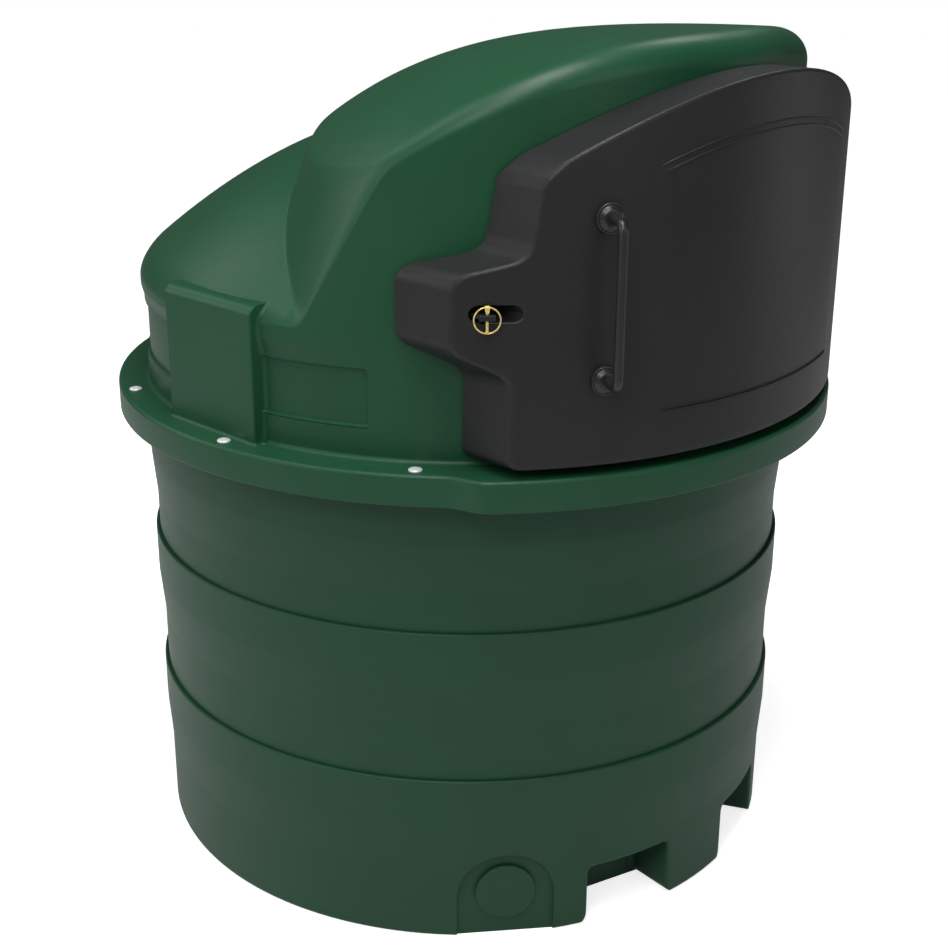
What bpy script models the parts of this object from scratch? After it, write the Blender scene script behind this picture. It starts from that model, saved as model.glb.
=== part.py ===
"""Vertical fuel storage tank of moulded polyethylene, with a banded round body, a bolted hood
and a black cabinet door. Metres, +Z up, the door faces -Y, the origin is on the tank's axis at
ground level. Angles around the tank are in degrees from the door's centre line, positive
towards +X."""

import bpy
import bmesh
from math import sin, cos, tan, radians, degrees, hypot, sqrt, pi, atan2
from mathutils import Vector

# Gap that neighbouring pieces keep, and the same between wall pieces as an angle
GAP = 0.0003
SLIP_DEG = 0.03
CUT_PAST = 0.010           # how far a cutter runs past the face it cuts

# Round body
BODY_R = 0.7075            # the widest part of each band
BODY_R_LOW = 0.699         # the foot of each upper band
BODY_R_BASE = 0.701        # the bottom of the lowest band
BODY_INNER_R = 0.690
BODY_TOP_Z = 1.0037
BAND_LINES_Z = (0.369, 0.692)
BAND_FULL_H = 0.10         # a band keeps its full radius this far below its top
BAND_TAPER_H = 0.10
BAND_LIP = 0.004
FOOT_TOP_Z = 0.200         # height of the stretch that holds the pockets and recesses
BASE_T = 0.012
BASE_GAP = 0.001

# Fork pockets and arched recesses at the foot
POCKET_FROM = 7.9
POCKET_TO = 24.6
POCKET_H = 0.135
POCKET_BACK_R = 0.590
LINER_T = 0.008
LINER_DEG = 0.8
RECESS_CENTRE = 39.05
RECESS_EDGE = 50.0
RECESS_HALF_W = 0.100
RECESS_SPRING_Z = 0.094
RECESS_FLAT_R = 0.684      # distance of the flat face from the tank's axis
RECESS_INNER_R = 0.674
DISC_R = 0.062
DISC_T = 0.008
DISC_Z = 0.100

# Flange between the body and the hood
FLANGE_R = 0.766
FLANGE_FRONT_R = 0.797
FLANGE_RAMP = (43.0, 49.0)
FLANGE_RAMP_STEP = 1.5
FLANGE_TOP_Z = 1.037
FLANGE_PLATE_T = 0.009
SKIRT_Z = 0.975
SKIRT_T = 0.008
FLANGE_INNER_R = 0.660
FLANGE_GAP = 0.001
FLANGE_EDGE_R = 0.006
DECK_T = 0.012

# Hood: low dome behind, raised cabinet top in front
HOOD_R = 0.700
HOOD_T = 0.006
DOME_RIM_Z = 1.290
DOME_RISE = 0.304
CAP_TOP_Z = 1.789
CAP_CENTRE_Y = -0.724
CAP_DROP = 0.1685          # fall of the cap at CAP_REACH from its centre
CAP_REACH = 0.600
CAP_POWER = 3.19
CAP_STRETCH = 0.668
STEP_CENTRE_Y = -0.4025    # the steep face round the cabinet is a cone about this point
STEP_R = 0.586
STEP_Z = 1.610
STEP_SLOPE = 3.09
CREASE_BLEND = 0.026
VALLEY_BLEND = 0.012
RIM_ROUNDS = ((0.0, 0.060), (24.0, 0.055), (44.0, 0.034), (57.0, 0.013), (75.0, 0.013),
              (100.0, 0.030), (180.0, 0.035))    # (angle from the front, radius of the rim)
SEAM_ANGLE = 72.0          # where the foot of the raised part reaches the rim
SEAM_CENTRE_Y = -0.5405    # plan circle along that foot
SEAM_R = 0.7405
SEAM_GAP = 0.0005
SEAM_START = 0.4           # the dome starts this many degrees behind the seam's end
RIM_GAP = 0.0006           # between the top of the wall and the rim
CORNER_ANGLE = 52.5        # the hood's corners, divided finely, lie between this and the seam
CORNER_STEP = 1.95
FRONT_STEP = 3.75
BEHIND_STEP = 4.5
WALL_SPAN = 36.0
SLOPE_SPAN = 0.0001        # the hood's slope is read over this distance to each side
REAR_STEP = 5.0

# Doorway and door
DOORWAY_EDGE = 41.25
SILL_Z = 1.085
DOORWAY_ARCH_R = 0.830
DOORWAY_ARCH_TOP_Z = 1.640
DOOR_BACK_R = 0.7055
DOOR_FRONT_R = 0.797
DOOR_BOTTOM_Z = 1.055
DOOR_HALF_W = 0.515
DOOR_ARCH_R = 0.830
DOOR_ARCH_TOP_Z = 1.730
DOOR_FOOT_ROUND = 0.015
DOOR_SHOULDER = (0.473, 1.560)
DOOR_SIDE_TOP_Z = 1.420
LEFT_SHOULDER = (-0.472, 1.570)
DOOR_ARCH_TO_X = 0.450
TAB_HEAD = (-0.488, 1.440)     # the tab's upper inner corner, then its outer edge and its foot
TAB_X = -0.590
TAB_Z = (1.272, 1.408)
TAB_FOOT = (-0.512, 1.222)
TAB_ROUND_IN = 0.045
TAB_ROUND_OUT = 0.040
DOOR_WALL_T = 0.006
DOOR_LINER_T = 0.005
CAVITY_LEFT_X = -0.478
CAVITY_LEFT_TOP_Z = 1.480
CAVITY_DROP = 0.005            # the hollow's shoulders lie this far below the door's
CAVITY_ARCH_TO_X = 0.440
CAVITY_ROUND = 0.012
SLAB_Z = (0.95, 1.85)          # the curved slab that the door is cut from
SLAB_TO = 60.0
SLAB_STEP = 3.0
CUTTER_Y = (-0.9, -0.3)

# Latch in the door's tab
SLOT_X = (-0.568, -0.497)
SLOT_H = 0.030
SLOT_Z = 1.3445
TONGUE_Y = (-0.505, -0.520)    # the flat plate behind the slot
TONGUE_W = 0.022
TONGUE_H = 0.011
TONGUE_Z = 1.3415
TONGUE_PAST_PIN = 0.007
PIN_R = 0.003
PIN_ANGLE = -43.5         # the pin stands just off the door's round face at this angle
PIN_OUT = 0.007
PIN_HEAD_W = 0.011
PIN_HEAD_T = 0.010
PIN_HEAD_RISE = 0.008     # height of the head over the ring's wire
RING_R = 0.0244
RING_WIRE_R = 0.0022
RING_PLAY = 0.0010
RING_Z = 1.338

# Grab handle
HANDLE_ANGLE = -28.15
HANDLE_Z = (1.2165, 1.5055)
BOSS_R = 0.0272
BOSS_T = 0.012
ROD_R = 0.0088
ROD_STANDOFF = 0.057
ROD_BEND_R = 0.016

# Hinges on the door's right
HINGE_X = 0.537
HINGE_Y = -0.497
HINGE_Z = (1.130, 1.330)
HINGE_H = 0.070
KNUCKLE_H = 0.024
BARREL_R = 0.009
HINGE_PIN_R = 0.0032
HINGE_BORE_R = 0.0037
HINGE_LEAF = (48.6, 54.0)
HINGE_LEAF_T = 0.006
HINGE_LEAF_STEP = 1.8
HINGE_SEAT_GAP = 0.0008
HINGE_ARM_TO = 52.0        # the arms' root on the leaf ends at this angle
HINGE_PIN_SHORT = 0.001    # the pin ends this far inside the arms
STRAP_REACH = (0.030, 0.004)

# Flat pads on the hood's sides
PAD_X = 0.712
PAD_HALF_W = 0.131
PAD_TOP_Z = 1.307
PAD_ROUND = 0.016
PAD_LAP_R = 0.680         # the pad's top runs back to here over the dome's rim
PAD_SEAT_GAP = 0.0012


def clear_scene():
    for thing in list(bpy.data.objects):
        bpy.data.objects.remove(thing, do_unlink=True)


def make_material(name, colour, roughness, metallic=0.0):
    mat = bpy.data.materials.new(name)
    mat.use_nodes = True
    shader = mat.node_tree.nodes["Principled BSDF"]
    shader.inputs["Base Color"].default_value = (*colour, 1.0)
    shader.inputs["Roughness"].default_value = roughness
    shader.inputs["Metallic"].default_value = metallic
    return mat


def polar(radius, angle, z):
    a = radians(angle)
    return Vector((radius * sin(a), -radius * cos(a), z))


def steps(start, end, size):
    count = max(1, round(abs(end - start) / size))
    return [start + (end - start) * i / count for i in range(count + 1)]


def away_from_front(angle):
    return abs((angle + 180.0) % 360.0 - 180.0)


def finish(name, bm, mat, smooth_angle=40.0):
    bmesh.ops.remove_doubles(bm, verts=bm.verts, dist=1e-6)
    bmesh.ops.recalc_face_normals(bm, faces=bm.faces)
    mesh = bpy.data.meshes.new(name)
    bm.to_mesh(mesh)
    bm.free()
    mesh.shade_smooth()
    mesh.set_sharp_from_angle(angle=radians(smooth_angle))
    thing = bpy.data.objects.new(name, mesh)
    if mat is not None:
        thing.data.materials.append(mat)
    bpy.context.scene.collection.objects.link(thing)
    return thing


def as_cutter(thing):
    thing.hide_render = True
    thing.display_type = "WIRE"
    return thing


def boolean(thing, cutter, operation="DIFFERENCE"):
    modifier = thing.modifiers.new(operation.title(), "BOOLEAN")
    modifier.operation = operation
    modifier.solver = "EXACT"
    modifier.object = as_cutter(cutter)


# A swept section: section(angle) gives the (radius, z) loop of the solid at that angle
def sweep(name, section, angles, mat, closed=False):
    bm = bmesh.new()
    rings = []
    for angle in angles:
        rings.append([bm.verts.new(polar(r, angle, z)) for r, z in section(angle)])
    pairs = list(zip(rings, rings[1:]))
    if closed:
        pairs.append((rings[-1], rings[0]))
    size = len(rings[0])
    for one, two in pairs:
        for i in range(size):
            j = (i + 1) % size
            bm.faces.new((one[i], one[j], two[j], two[i]))
    if not closed:
        bm.faces.new(rings[0])
        bm.faces.new(rings[-1])
    return finish(name, bm, mat)


def full_circle(size):
    return steps(0.0, 360.0, size)[:-1]


def level(z):
    return lambda angle: z


def prism(name, outline, start, end, place, mat=None):
    """Closed prism: outline is a loop of (u, v), place(u, v, w) puts a point in space."""
    bm = bmesh.new()
    near = [bm.verts.new(place(u, v, start)) for u, v in outline]
    far = [bm.verts.new(place(u, v, end)) for u, v in outline]
    bm.faces.new(near)
    bm.faces.new(list(reversed(far)))
    for i in range(len(outline)):
        j = (i + 1) % len(outline)
        bm.faces.new((near[i], far[i], far[j], near[j]))
    return finish(name, bm, mat)


def along_y(u, v, w):
    return Vector((u, w, v))


def along_z(u, v, w):
    return Vector((u, v, w))


def circle(cu, cv, radius, count):
    return [(cu + radius * cos(2 * pi * i / count), cv + radius * sin(2 * pi * i / count))
            for i in range(count)]


def rounded(corners, count=5):
    """Loop with each corner (u, v, radius) turned into an arc."""
    points = []
    size = len(corners)
    for i, (u, v, radius) in enumerate(corners):
        here = Vector((u, v))
        before = Vector(corners[i - 1][:2]) - here
        after = Vector(corners[(i + 1) % size][:2]) - here
        if radius <= 0.0:
            points.append((u, v))
            continue
        half = before.angle(after) / 2
        run = radius / tan(half)
        middle = here + (before.normalized() + after.normalized()).normalized() * radius / sin(half)
        first = here + before.normalized() * run - middle
        last = here + after.normalized() * run - middle
        turn = first.angle_signed(last)
        begin = atan2(first.y, first.x)
        for k in range(count + 1):
            a = begin - turn * k / count
            points.append((middle.x + radius * cos(a), middle.y + radius * sin(a)))
    return points


# Body

def band_section(bottom_z, top_z, bottom_r):
    taper_top = top_z - BAND_FULL_H
    taper_foot = taper_top - BAND_TAPER_H
    loop = [(BODY_INNER_R, top_z), (BODY_INNER_R, bottom_z), (bottom_r, bottom_z)]
    if taper_foot > bottom_z:
        loop.append((bottom_r, taper_foot))
    loop += [(BODY_R, taper_top), (BODY_R, top_z - BAND_LIP), (BODY_R - BAND_LIP, top_z)]
    return loop


def make_bands(mat):
    circle_steps = full_circle(REAR_STEP)
    low, high = BAND_LINES_Z
    foot_r = body_radius(FOOT_TOP_Z)
    lower = band_section(FOOT_TOP_Z + GAP, low, foot_r)
    sweep("lower_band", lambda a: lower, circle_steps, mat, closed=True)
    middle = band_section(low + GAP, high, BODY_R_LOW)
    sweep("middle_band", lambda a: middle, circle_steps, mat, closed=True)
    upper = [(BODY_INNER_R, BODY_TOP_Z), (BODY_INNER_R, high + GAP), (BODY_R_LOW, high + GAP),
             (BODY_R_LOW, SKIRT_Z - BAND_FULL_H - BAND_TAPER_H), (BODY_R, SKIRT_Z - BAND_FULL_H),
             (BODY_R, BODY_TOP_Z)]
    sweep("upper_band", lambda a: upper, circle_steps, mat, closed=True)


def body_radius(z):
    """Outer radius of the lowest band, which widens from the ground up."""
    taper_top = BAND_LINES_Z[0] - BAND_FULL_H
    share = min(1.0, max(0.0, (z - taper_top + BAND_TAPER_H) / BAND_TAPER_H))
    return BODY_R_BASE + (BODY_R - BODY_R_BASE) * share


def foot_section(inner):
    foot_z = BAND_LINES_Z[0] - BAND_FULL_H - BAND_TAPER_H
    return [(inner, FOOT_TOP_Z), (inner, 0.0), (BODY_R_BASE, 0.0),
            (BODY_R_BASE, foot_z), (body_radius(FOOT_TOP_Z), FOOT_TOP_Z)]


def make_foot(mat):
    plain = foot_section(BODY_INNER_R)
    pocket_edge = POCKET_FROM - LINER_DEG
    pocket_end = POCKET_TO + LINER_DEG
    slip = SLIP_DEG
    for name, centre in (("front_pier", 0.0), ("rear_pier", 180.0)):
        span = steps(centre - pocket_edge + slip, centre + pocket_edge - slip, REAR_STEP)
        sweep(name, lambda a: plain, span, mat)
    for name, side in (("left_foot", -1.0), ("right_foot", 1.0)):
        span = steps(side * (RECESS_EDGE + slip), side * (180.0 - pocket_end - slip), REAR_STEP)
        sweep(name, lambda a: plain, span, mat)
    for name, side in (("left_recess", -1.0), ("right_recess", 1.0)):
        make_recess(name, side, pocket_end + slip, mat)
    for row, turn in (("front", 0.0), ("rear", 180.0)):
        for name, side in (("left", -1.0), ("right", 1.0)):
            make_pocket(row + "_" + name + "_pocket", turn, side if row == "front" else -side, mat)


def make_recess(name, side, start, mat):
    thick = foot_section(RECESS_INNER_R)
    span = steps(side * start, side * RECESS_EDGE, REAR_STEP)
    wall = sweep(name, lambda a: thick, span, mat)
    arch = [(-RECESS_HALF_W, -CUT_PAST), (RECESS_HALF_W, -CUT_PAST)]
    for a in steps(0.0, 180.0, 12.0):
        arch.append((RECESS_HALF_W * cos(radians(a)), RECESS_SPRING_Z + RECESS_HALF_W * sin(radians(a))))
    boolean(wall, prism(name + "_cut", arch, RECESS_FLAT_R, BODY_R + CUT_PAST, facing(side * RECESS_CENTRE)))


def facing(angle):
    """Place for a flat shape that faces outwards at this angle: u sideways, v up, w outwards."""
    a = radians(angle)
    out = Vector((sin(a), -cos(a), 0.0))
    across = Vector((cos(a), sin(a), 0.0))
    return lambda u, v, w: across * u + out * w + Vector((0.0, 0.0, v))


def make_pocket(name, turn, side, mat):
    inner = POCKET_BACK_R - LINER_T
    edge = POCKET_FROM - LINER_DEG
    end = POCKET_TO + LINER_DEG
    block = foot_section(inner)
    span = [turn + side * a for a in steps(edge, end, REAR_STEP)]
    liner = sweep(name, lambda a: block, span, mat)
    past = BODY_R + CUT_PAST
    mouth = [(POCKET_BACK_R, -CUT_PAST), (past, -CUT_PAST), (past, POCKET_H), (POCKET_BACK_R, POCKET_H)]
    span = [turn + side * a for a in steps(POCKET_FROM, POCKET_TO, REAR_STEP)]
    boolean(liner, sweep(name + "_mouth", lambda a: mouth, span, None))
    above = [(inner - CUT_PAST, POCKET_H + LINER_T), (BODY_INNER_R, POCKET_H + LINER_T),
             (BODY_INNER_R, FOOT_TOP_Z + CUT_PAST), (inner - CUT_PAST, FOOT_TOP_Z + CUT_PAST)]
    span = [turn + side * a for a in steps(edge - 1.0, end + 1.0, REAR_STEP)]
    boolean(liner, sweep(name + "_above", lambda a: above, span, None))


def make_base(mat):
    outline = []
    edge = POCKET_FROM - LINER_DEG - SLIP_DEG
    end = POCKET_TO + LINER_DEG + SLIP_DEG
    recess = RECESS_EDGE + 2 * SLIP_DEG
    radii = {"pier": BODY_INNER_R - GAP, "pocket": POCKET_BACK_R - LINER_T - BASE_GAP,
             "recess": RECESS_INNER_R - BASE_GAP}
    spans = [(-edge, edge, "pier"), (edge, end, "pocket"), (end, recess, "recess"),
             (recess, 180.0 - end, "pier"), (180.0 - end, 180.0 - edge, "pocket"),
             (180.0 - edge, 180.0 + edge, "pier"), (180.0 + edge, 180.0 + end, "pocket"),
             (180.0 + end, 360.0 - recess, "pier"), (360.0 - recess, 360.0 - end, "recess"),
             (360.0 - end, 360.0 - edge, "pocket")]
    for start, stop, kind in spans:
        for angle in steps(start, stop, REAR_STEP):
            point = polar(radii[kind], angle, 0.0)
            outline.append((point.x, point.y))
    prism("base_plate", outline, 0.0, BASE_T, along_z, mat)


def make_discs(mat):
    for name, side in (("left_disc", -1.0), ("right_disc", 1.0)):
        start = RECESS_FLAT_R + GAP
        prism(name, circle(0.0, DISC_Z, DISC_R, 24), start, start + DISC_T,
              facing(side * RECESS_CENTRE), mat)


# Flange and deck

def flange_radius(angle):
    start, end = FLANGE_RAMP
    share = min(1.0, max(0.0, (away_from_front(angle) - start) / (end - start)))
    share = share * share * (3.0 - 2.0 * share)
    return FLANGE_FRONT_R + (FLANGE_R - FLANGE_FRONT_R) * share


def flange_angles():
    start, end = FLANGE_RAMP
    ramp = steps(start, end, FLANGE_RAMP_STEP)
    right = steps(0.0, start, REAR_STEP)[:-1] + ramp + steps(end, 180.0, REAR_STEP)[1:]
    return right + [360.0 - a for a in reversed(right[1:-1])]


def make_flanges(mat):
    plate_z = FLANGE_TOP_Z - FLANGE_PLATE_T
    edge = FLANGE_EDGE_R
    shoulder = edge * (1.0 - sqrt(0.5))

    def hood_flange(angle):
        r = flange_radius(angle)
        return [(FLANGE_INNER_R, plate_z), (r - SKIRT_T, plate_z), (r - SKIRT_T, SKIRT_Z),
                (r, SKIRT_Z), (r, FLANGE_TOP_Z - edge), (r - shoulder, FLANGE_TOP_Z - shoulder),
                (r - edge, FLANGE_TOP_Z), (FLANGE_INNER_R, FLANGE_TOP_Z)]

    def tank_flange(angle):
        r = flange_radius(angle) - SKIRT_T - FLANGE_GAP
        return [(BODY_INNER_R, BODY_TOP_Z + GAP), (r, BODY_TOP_Z + GAP), (r, plate_z - GAP),
                (BODY_INNER_R, plate_z - GAP)]

    sweep("hood_flange", hood_flange, flange_angles(), mat, closed=True)
    sweep("tank_flange", tank_flange, flange_angles(), mat, closed=True)
    top = plate_z - GAP
    prism("tank_top", [polar(BODY_INNER_R - BASE_GAP, a, 0.0)[:2] for a in full_circle(REAR_STEP)],
          top - DECK_T, top, along_z, mat)


# Hood

def soft_max(a, b, size):
    h = min(1.0, max(0.0, 0.5 + 0.5 * (a - b) / size))
    return b * (1.0 - h) + a * h + size * h * (1.0 - h)


def soft_min(a, b, size):
    return -soft_max(-a, -b, size)


def hood_form(x, y):
    """Height of the hood before its edge is rounded."""
    dome = DOME_RIM_Z + DOME_RISE * (1.0 - (x * x + y * y) / HOOD_R ** 2)
    reach = hypot(x, (y - CAP_CENTRE_Y) * CAP_STRETCH) / CAP_REACH
    cap = CAP_TOP_Z - CAP_DROP * reach ** CAP_POWER
    step = STEP_Z + STEP_SLOPE * (STEP_R - hypot(x, y - STEP_CENTRE_Y))
    return soft_max(dome, soft_min(cap, step, CREASE_BLEND), VALLEY_BLEND)


def rim_round(angle):
    """Radius of the hood's rounded rim: large over the door, crisp at the cabinet's corners."""
    away = away_from_front(angle)
    for (start, one), (end, two) in zip(RIM_ROUNDS, RIM_ROUNDS[1:]):
        if away <= end:
            break
    return one + (two - one) * (away - start) / (end - start)


def hood_z(x, y):
    radius = min(hypot(x, y), HOOD_R)
    round_r = rim_round(degrees(atan2(x, -y)))
    inward = max(0.0, radius - HOOD_R + round_r)
    return hood_form(x, y) - (round_r - sqrt(max(0.0, round_r ** 2 - inward ** 2)))


def rim_z(angle):
    return hood_z(*polar(HOOD_R, angle, 0.0)[:2])


def hood_angles(start, end):
    """Angles from start to end at which the hood is divided, finely at its two front corners."""
    corner = steps(CORNER_ANGLE, SEAM_ANGLE, CORNER_STEP)
    right = steps(0.0, CORNER_ANGLE, FRONT_STEP)[:-1] + corner
    right += [SEAM_ANGLE + SEAM_START] + steps(SEAM_ANGLE, 360.0 - SEAM_ANGLE, BEHIND_STEP)[1:]
    right.append(360.0 - SEAM_ANGLE - SEAM_START)
    every = right + [-a for a in right]
    return [start] + sorted(a for a in set(every) if start + SLIP_DEG < a < end - SLIP_DEG) + [end]


def seam_radius(angle, slack):
    """Distance from the tank's axis to the seam circle, or to the rim where that is nearer."""
    a = radians(angle)
    along = -SEAM_CENTRE_Y * cos(a)
    across = SEAM_CENTRE_Y ** 2 - (SEAM_R + slack) ** 2
    return min(HOOD_R, along + sqrt(along * along - across))


def hood_shell(name, angles, inner_edge, outer_edge, stations, mat, closed):
    """Shell of the hood between two radii, with both faces and the closing edges."""
    bm = bmesh.new()
    outer = []
    inner = []
    for angle in angles:
        near = inner_edge(angle)
        far = outer_edge(angle)
        top_row = []
        low_row = []
        for share in stations:
            radius = near + (far - near) * share
            spot, below = shell_points(radius, angle)
            top_row.append(bm.verts.new(spot))
            low_row.append(bm.verts.new(below))
        outer.append(top_row)
        inner.append(low_row)
    count = len(angles)
    last = count if closed else count - 1
    size = len(stations)
    for i in range(last):
        j = (i + 1) % count
        for k in range(size - 1):
            bm.faces.new((outer[i][k], outer[i][k + 1], outer[j][k + 1], outer[j][k]))
            bm.faces.new((inner[i][k], inner[j][k], inner[j][k + 1], inner[i][k + 1]))
        bm.faces.new((outer[i][-1], inner[i][-1], inner[j][-1], outer[j][-1]))
        if not closed:
            bm.faces.new((outer[i][0], outer[j][0], inner[j][0], inner[i][0]))
    if not closed:
        for row in (0, count - 1):
            for k in range(size - 1):
                bm.faces.new((outer[row][k], outer[row][k + 1], inner[row][k + 1], inner[row][k]))
    return finish(name, bm, mat, 50.0)


def shell_points(radius, angle):
    spot = polar(radius, angle, 0.0)
    spot.z = hood_z(spot.x, spot.y)
    if radius > HOOD_R - SLOPE_SPAN:
        normal = polar(1.0, angle, 0.0)
    else:
        d = SLOPE_SPAN
        x, y = spot.x, spot.y
        dx = (hood_z(x + d, y) - hood_z(x - d, y)) / (2 * d)
        dy = (hood_z(x, y + d) - hood_z(x, y - d)) / (2 * d)
        normal = Vector((-dx, -dy, 1.0)).normalized()
    return spot, spot - normal * HOOD_T


def make_hood(mat):
    seam = SEAM_ANGLE
    front = hood_angles(-seam, seam)
    behind = hood_angles(seam + SEAM_START, 360.0 - seam - SEAM_START)
    cap_stations = (0.0, 0.2, 0.38, 0.52, 0.64, 0.74, 0.81, 0.865, 0.905, 0.935, 0.96, 0.98,
                    0.993, 1.0)
    hood_shell("cabinet_roof", front + behind, lambda a: 0.0, lambda a: seam_radius(a, 0.0),
               cap_stations, mat, closed=True)
    dome_stations = (0.0, 0.25, 0.5, 0.7, 0.84, 0.93, 0.98, 1.0)
    hood_shell("hood_dome", behind, lambda a: seam_radius(a, SEAM_GAP), lambda a: HOOD_R,
               dome_stations, mat, closed=False)
    inner = HOOD_R - HOOD_T
    foot = level(FLANGE_TOP_Z + GAP)

    def top(angle):
        return rim_z(angle) - RIM_GAP

    def wall(name, start, end, head):
        span = hood_angles(start + SLIP_DEG, end - SLIP_DEG)
        sweep(name, lambda a: [(HOOD_R, foot(a)), (HOOD_R, head(a)), (inner, head(a)), (inner, foot(a))],
              span, mat)

    for i, start in enumerate(steps(seam, 360.0 - seam, WALL_SPAN)[:-1]):
        wall("hood_wall_" + str(i + 1), start, start + WALL_SPAN, top)
    edge = DOORWAY_EDGE
    wall("left_doorway_wall", -seam, -edge, top)
    wall("right_doorway_wall", edge, seam, top)
    wall("doorway_sill", -edge, edge, level(SILL_Z))
    lintel = hood_angles(-edge + SLIP_DEG, edge - SLIP_DEG)
    sweep("doorway_lintel", lambda a: [(HOOD_R, doorway_top(a)), (HOOD_R, top(a)), (inner, top(a)),
                                       (inner, doorway_top(a))], lintel, mat)


def doorway_top(angle):
    x = HOOD_R * sin(radians(angle))
    return DOORWAY_ARCH_TOP_Z - DOORWAY_ARCH_R + sqrt(DOORWAY_ARCH_R ** 2 - x * x)


def pad_section(y):
    """Loop (x, z) of a pad at one place along it: its face, its top, and its seat on the hood."""
    foot = FLANGE_TOP_Z + GAP
    shoulder = PAD_ROUND * (1.0 - sqrt(0.5))
    loop = [(PAD_X, foot), (PAD_X, PAD_TOP_Z - PAD_ROUND), (PAD_X - shoulder, PAD_TOP_Z - shoulder),
            (PAD_X - PAD_ROUND, PAD_TOP_Z)]
    seat = []
    for radius in steps(PAD_LAP_R, HOOD_R, (HOOD_R - PAD_LAP_R) / 5):
        z = hood_z(sqrt(radius ** 2 - y ** 2), y)
        seat.append((sqrt((radius + PAD_SEAT_GAP) ** 2 - y ** 2), z + PAD_SEAT_GAP))
    loop.append((seat[0][0], max(PAD_TOP_Z, seat[0][1] + PAD_SEAT_GAP)))
    return loop + seat + [(sqrt((HOOD_R + GAP) ** 2 - y ** 2), foot)]


def make_pads(mat):
    for name, side in (("left_pad", -1.0), ("right_pad", 1.0)):
        bm = bmesh.new()
        rows = []
        for y in steps(-PAD_HALF_W, PAD_HALF_W, PAD_HALF_W / 5):
            rows.append([bm.verts.new((side * x, y, z)) for x, z in pad_section(y)])
        for one, two in zip(rows, rows[1:]):
            for i in range(len(one)):
                j = (i + 1) % len(one)
                bm.faces.new((one[i], one[j], two[j], two[i]))
        bm.faces.new(rows[0])
        bm.faces.new(rows[-1])
        finish(name, bm, mat)


# Door

def door_arch(radius, top_z, left_x, right_x, count=18):
    centre = top_z - radius
    return [(x, centre + sqrt(radius * radius - x * x))
            for x in steps(left_x, right_x, (right_x - left_x) / count)]


def door_outline():
    low, high = TAB_Z
    corners = [(*DOOR_SHOULDER, 0.0), (DOOR_HALF_W, DOOR_SIDE_TOP_Z, 0.0),
               (DOOR_HALF_W, DOOR_BOTTOM_Z, DOOR_FOOT_ROUND), (-DOOR_HALF_W, DOOR_BOTTOM_Z, DOOR_FOOT_ROUND),
               (*TAB_FOOT, TAB_ROUND_IN), (TAB_X, low, TAB_ROUND_OUT), (TAB_X, high, TAB_ROUND_OUT),
               (*TAB_HEAD, TAB_ROUND_IN), (*LEFT_SHOULDER, 0.0)]
    return rounded(corners) + door_arch(DOOR_ARCH_R, DOOR_ARCH_TOP_Z, -DOOR_ARCH_TO_X, DOOR_ARCH_TO_X)


def cavity_outline(inset):
    wall = DOOR_WALL_T + inset
    right = DOOR_HALF_W - wall
    left = CAVITY_LEFT_X + inset
    bottom = DOOR_BOTTOM_Z + wall
    shoulder_x, shoulder_z = DOOR_SHOULDER
    shoulder_z -= CAVITY_DROP
    corners = [(shoulder_x - wall, shoulder_z, 0.0), (right, DOOR_SIDE_TOP_Z - CAVITY_DROP, 0.0),
               (right, bottom, CAVITY_ROUND), (left, bottom, CAVITY_ROUND), (left, CAVITY_LEFT_TOP_Z, 0.0),
               (-shoulder_x + 2 * wall, shoulder_z, 0.0)]
    reach = CAVITY_ARCH_TO_X - inset
    return rounded(corners) + door_arch(DOOR_ARCH_R - wall, DOOR_ARCH_TOP_Z - wall, -reach, reach)


def round_slab(name, inner, outer, mat=None):
    """Curved slab about the tank's axis that the door's outlines are cut from."""
    low, high = SLAB_Z
    loop = [(inner, low), (outer, low), (outer, high), (inner, high)]
    return sweep(name, lambda a: loop, steps(-SLAB_TO, SLAB_TO, SLAB_STEP), mat)


def make_door(mat):
    shell = round_slab("door_shell", DOOR_BACK_R, DOOR_FRONT_R, mat)
    boolean(shell, prism("door_outline", door_outline(), *CUTTER_Y, along_y), "INTERSECT")
    cavity = round_slab("door_cavity", DOOR_BACK_R - CUT_PAST, DOOR_FRONT_R - DOOR_WALL_T)
    boolean(cavity, prism("cavity_outline", cavity_outline(0.0), *CUTTER_Y, along_y), "INTERSECT")
    boolean(shell, cavity)
    boolean(shell, prism("slot_cut", slot_outline(0.0), *CUTTER_Y, along_y))
    liner = round_slab("door_liner", DOOR_BACK_R, DOOR_BACK_R + DOOR_LINER_T, mat)
    boolean(liner, prism("liner_outline", cavity_outline(GAP), *CUTTER_Y, along_y), "INTERSECT")


def slot_outline(inset):
    left, right = SLOT_X
    radius = SLOT_H / 2 - inset
    points = []
    for a in steps(90.0, 270.0, 22.5):
        points.append((left + SLOT_H / 2 + radius * cos(radians(a)), SLOT_Z + radius * sin(radians(a))))
    for a in steps(-90.0, 90.0, 22.5):
        points.append((right - SLOT_H / 2 + radius * cos(radians(a)), SLOT_Z + radius * sin(radians(a))))
    return points


def box_outline(u, v, width, height):
    return [(u - width / 2, v - height / 2), (u + width / 2, v - height / 2),
            (u + width / 2, v + height / 2), (u - width / 2, v + height / 2)]


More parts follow.
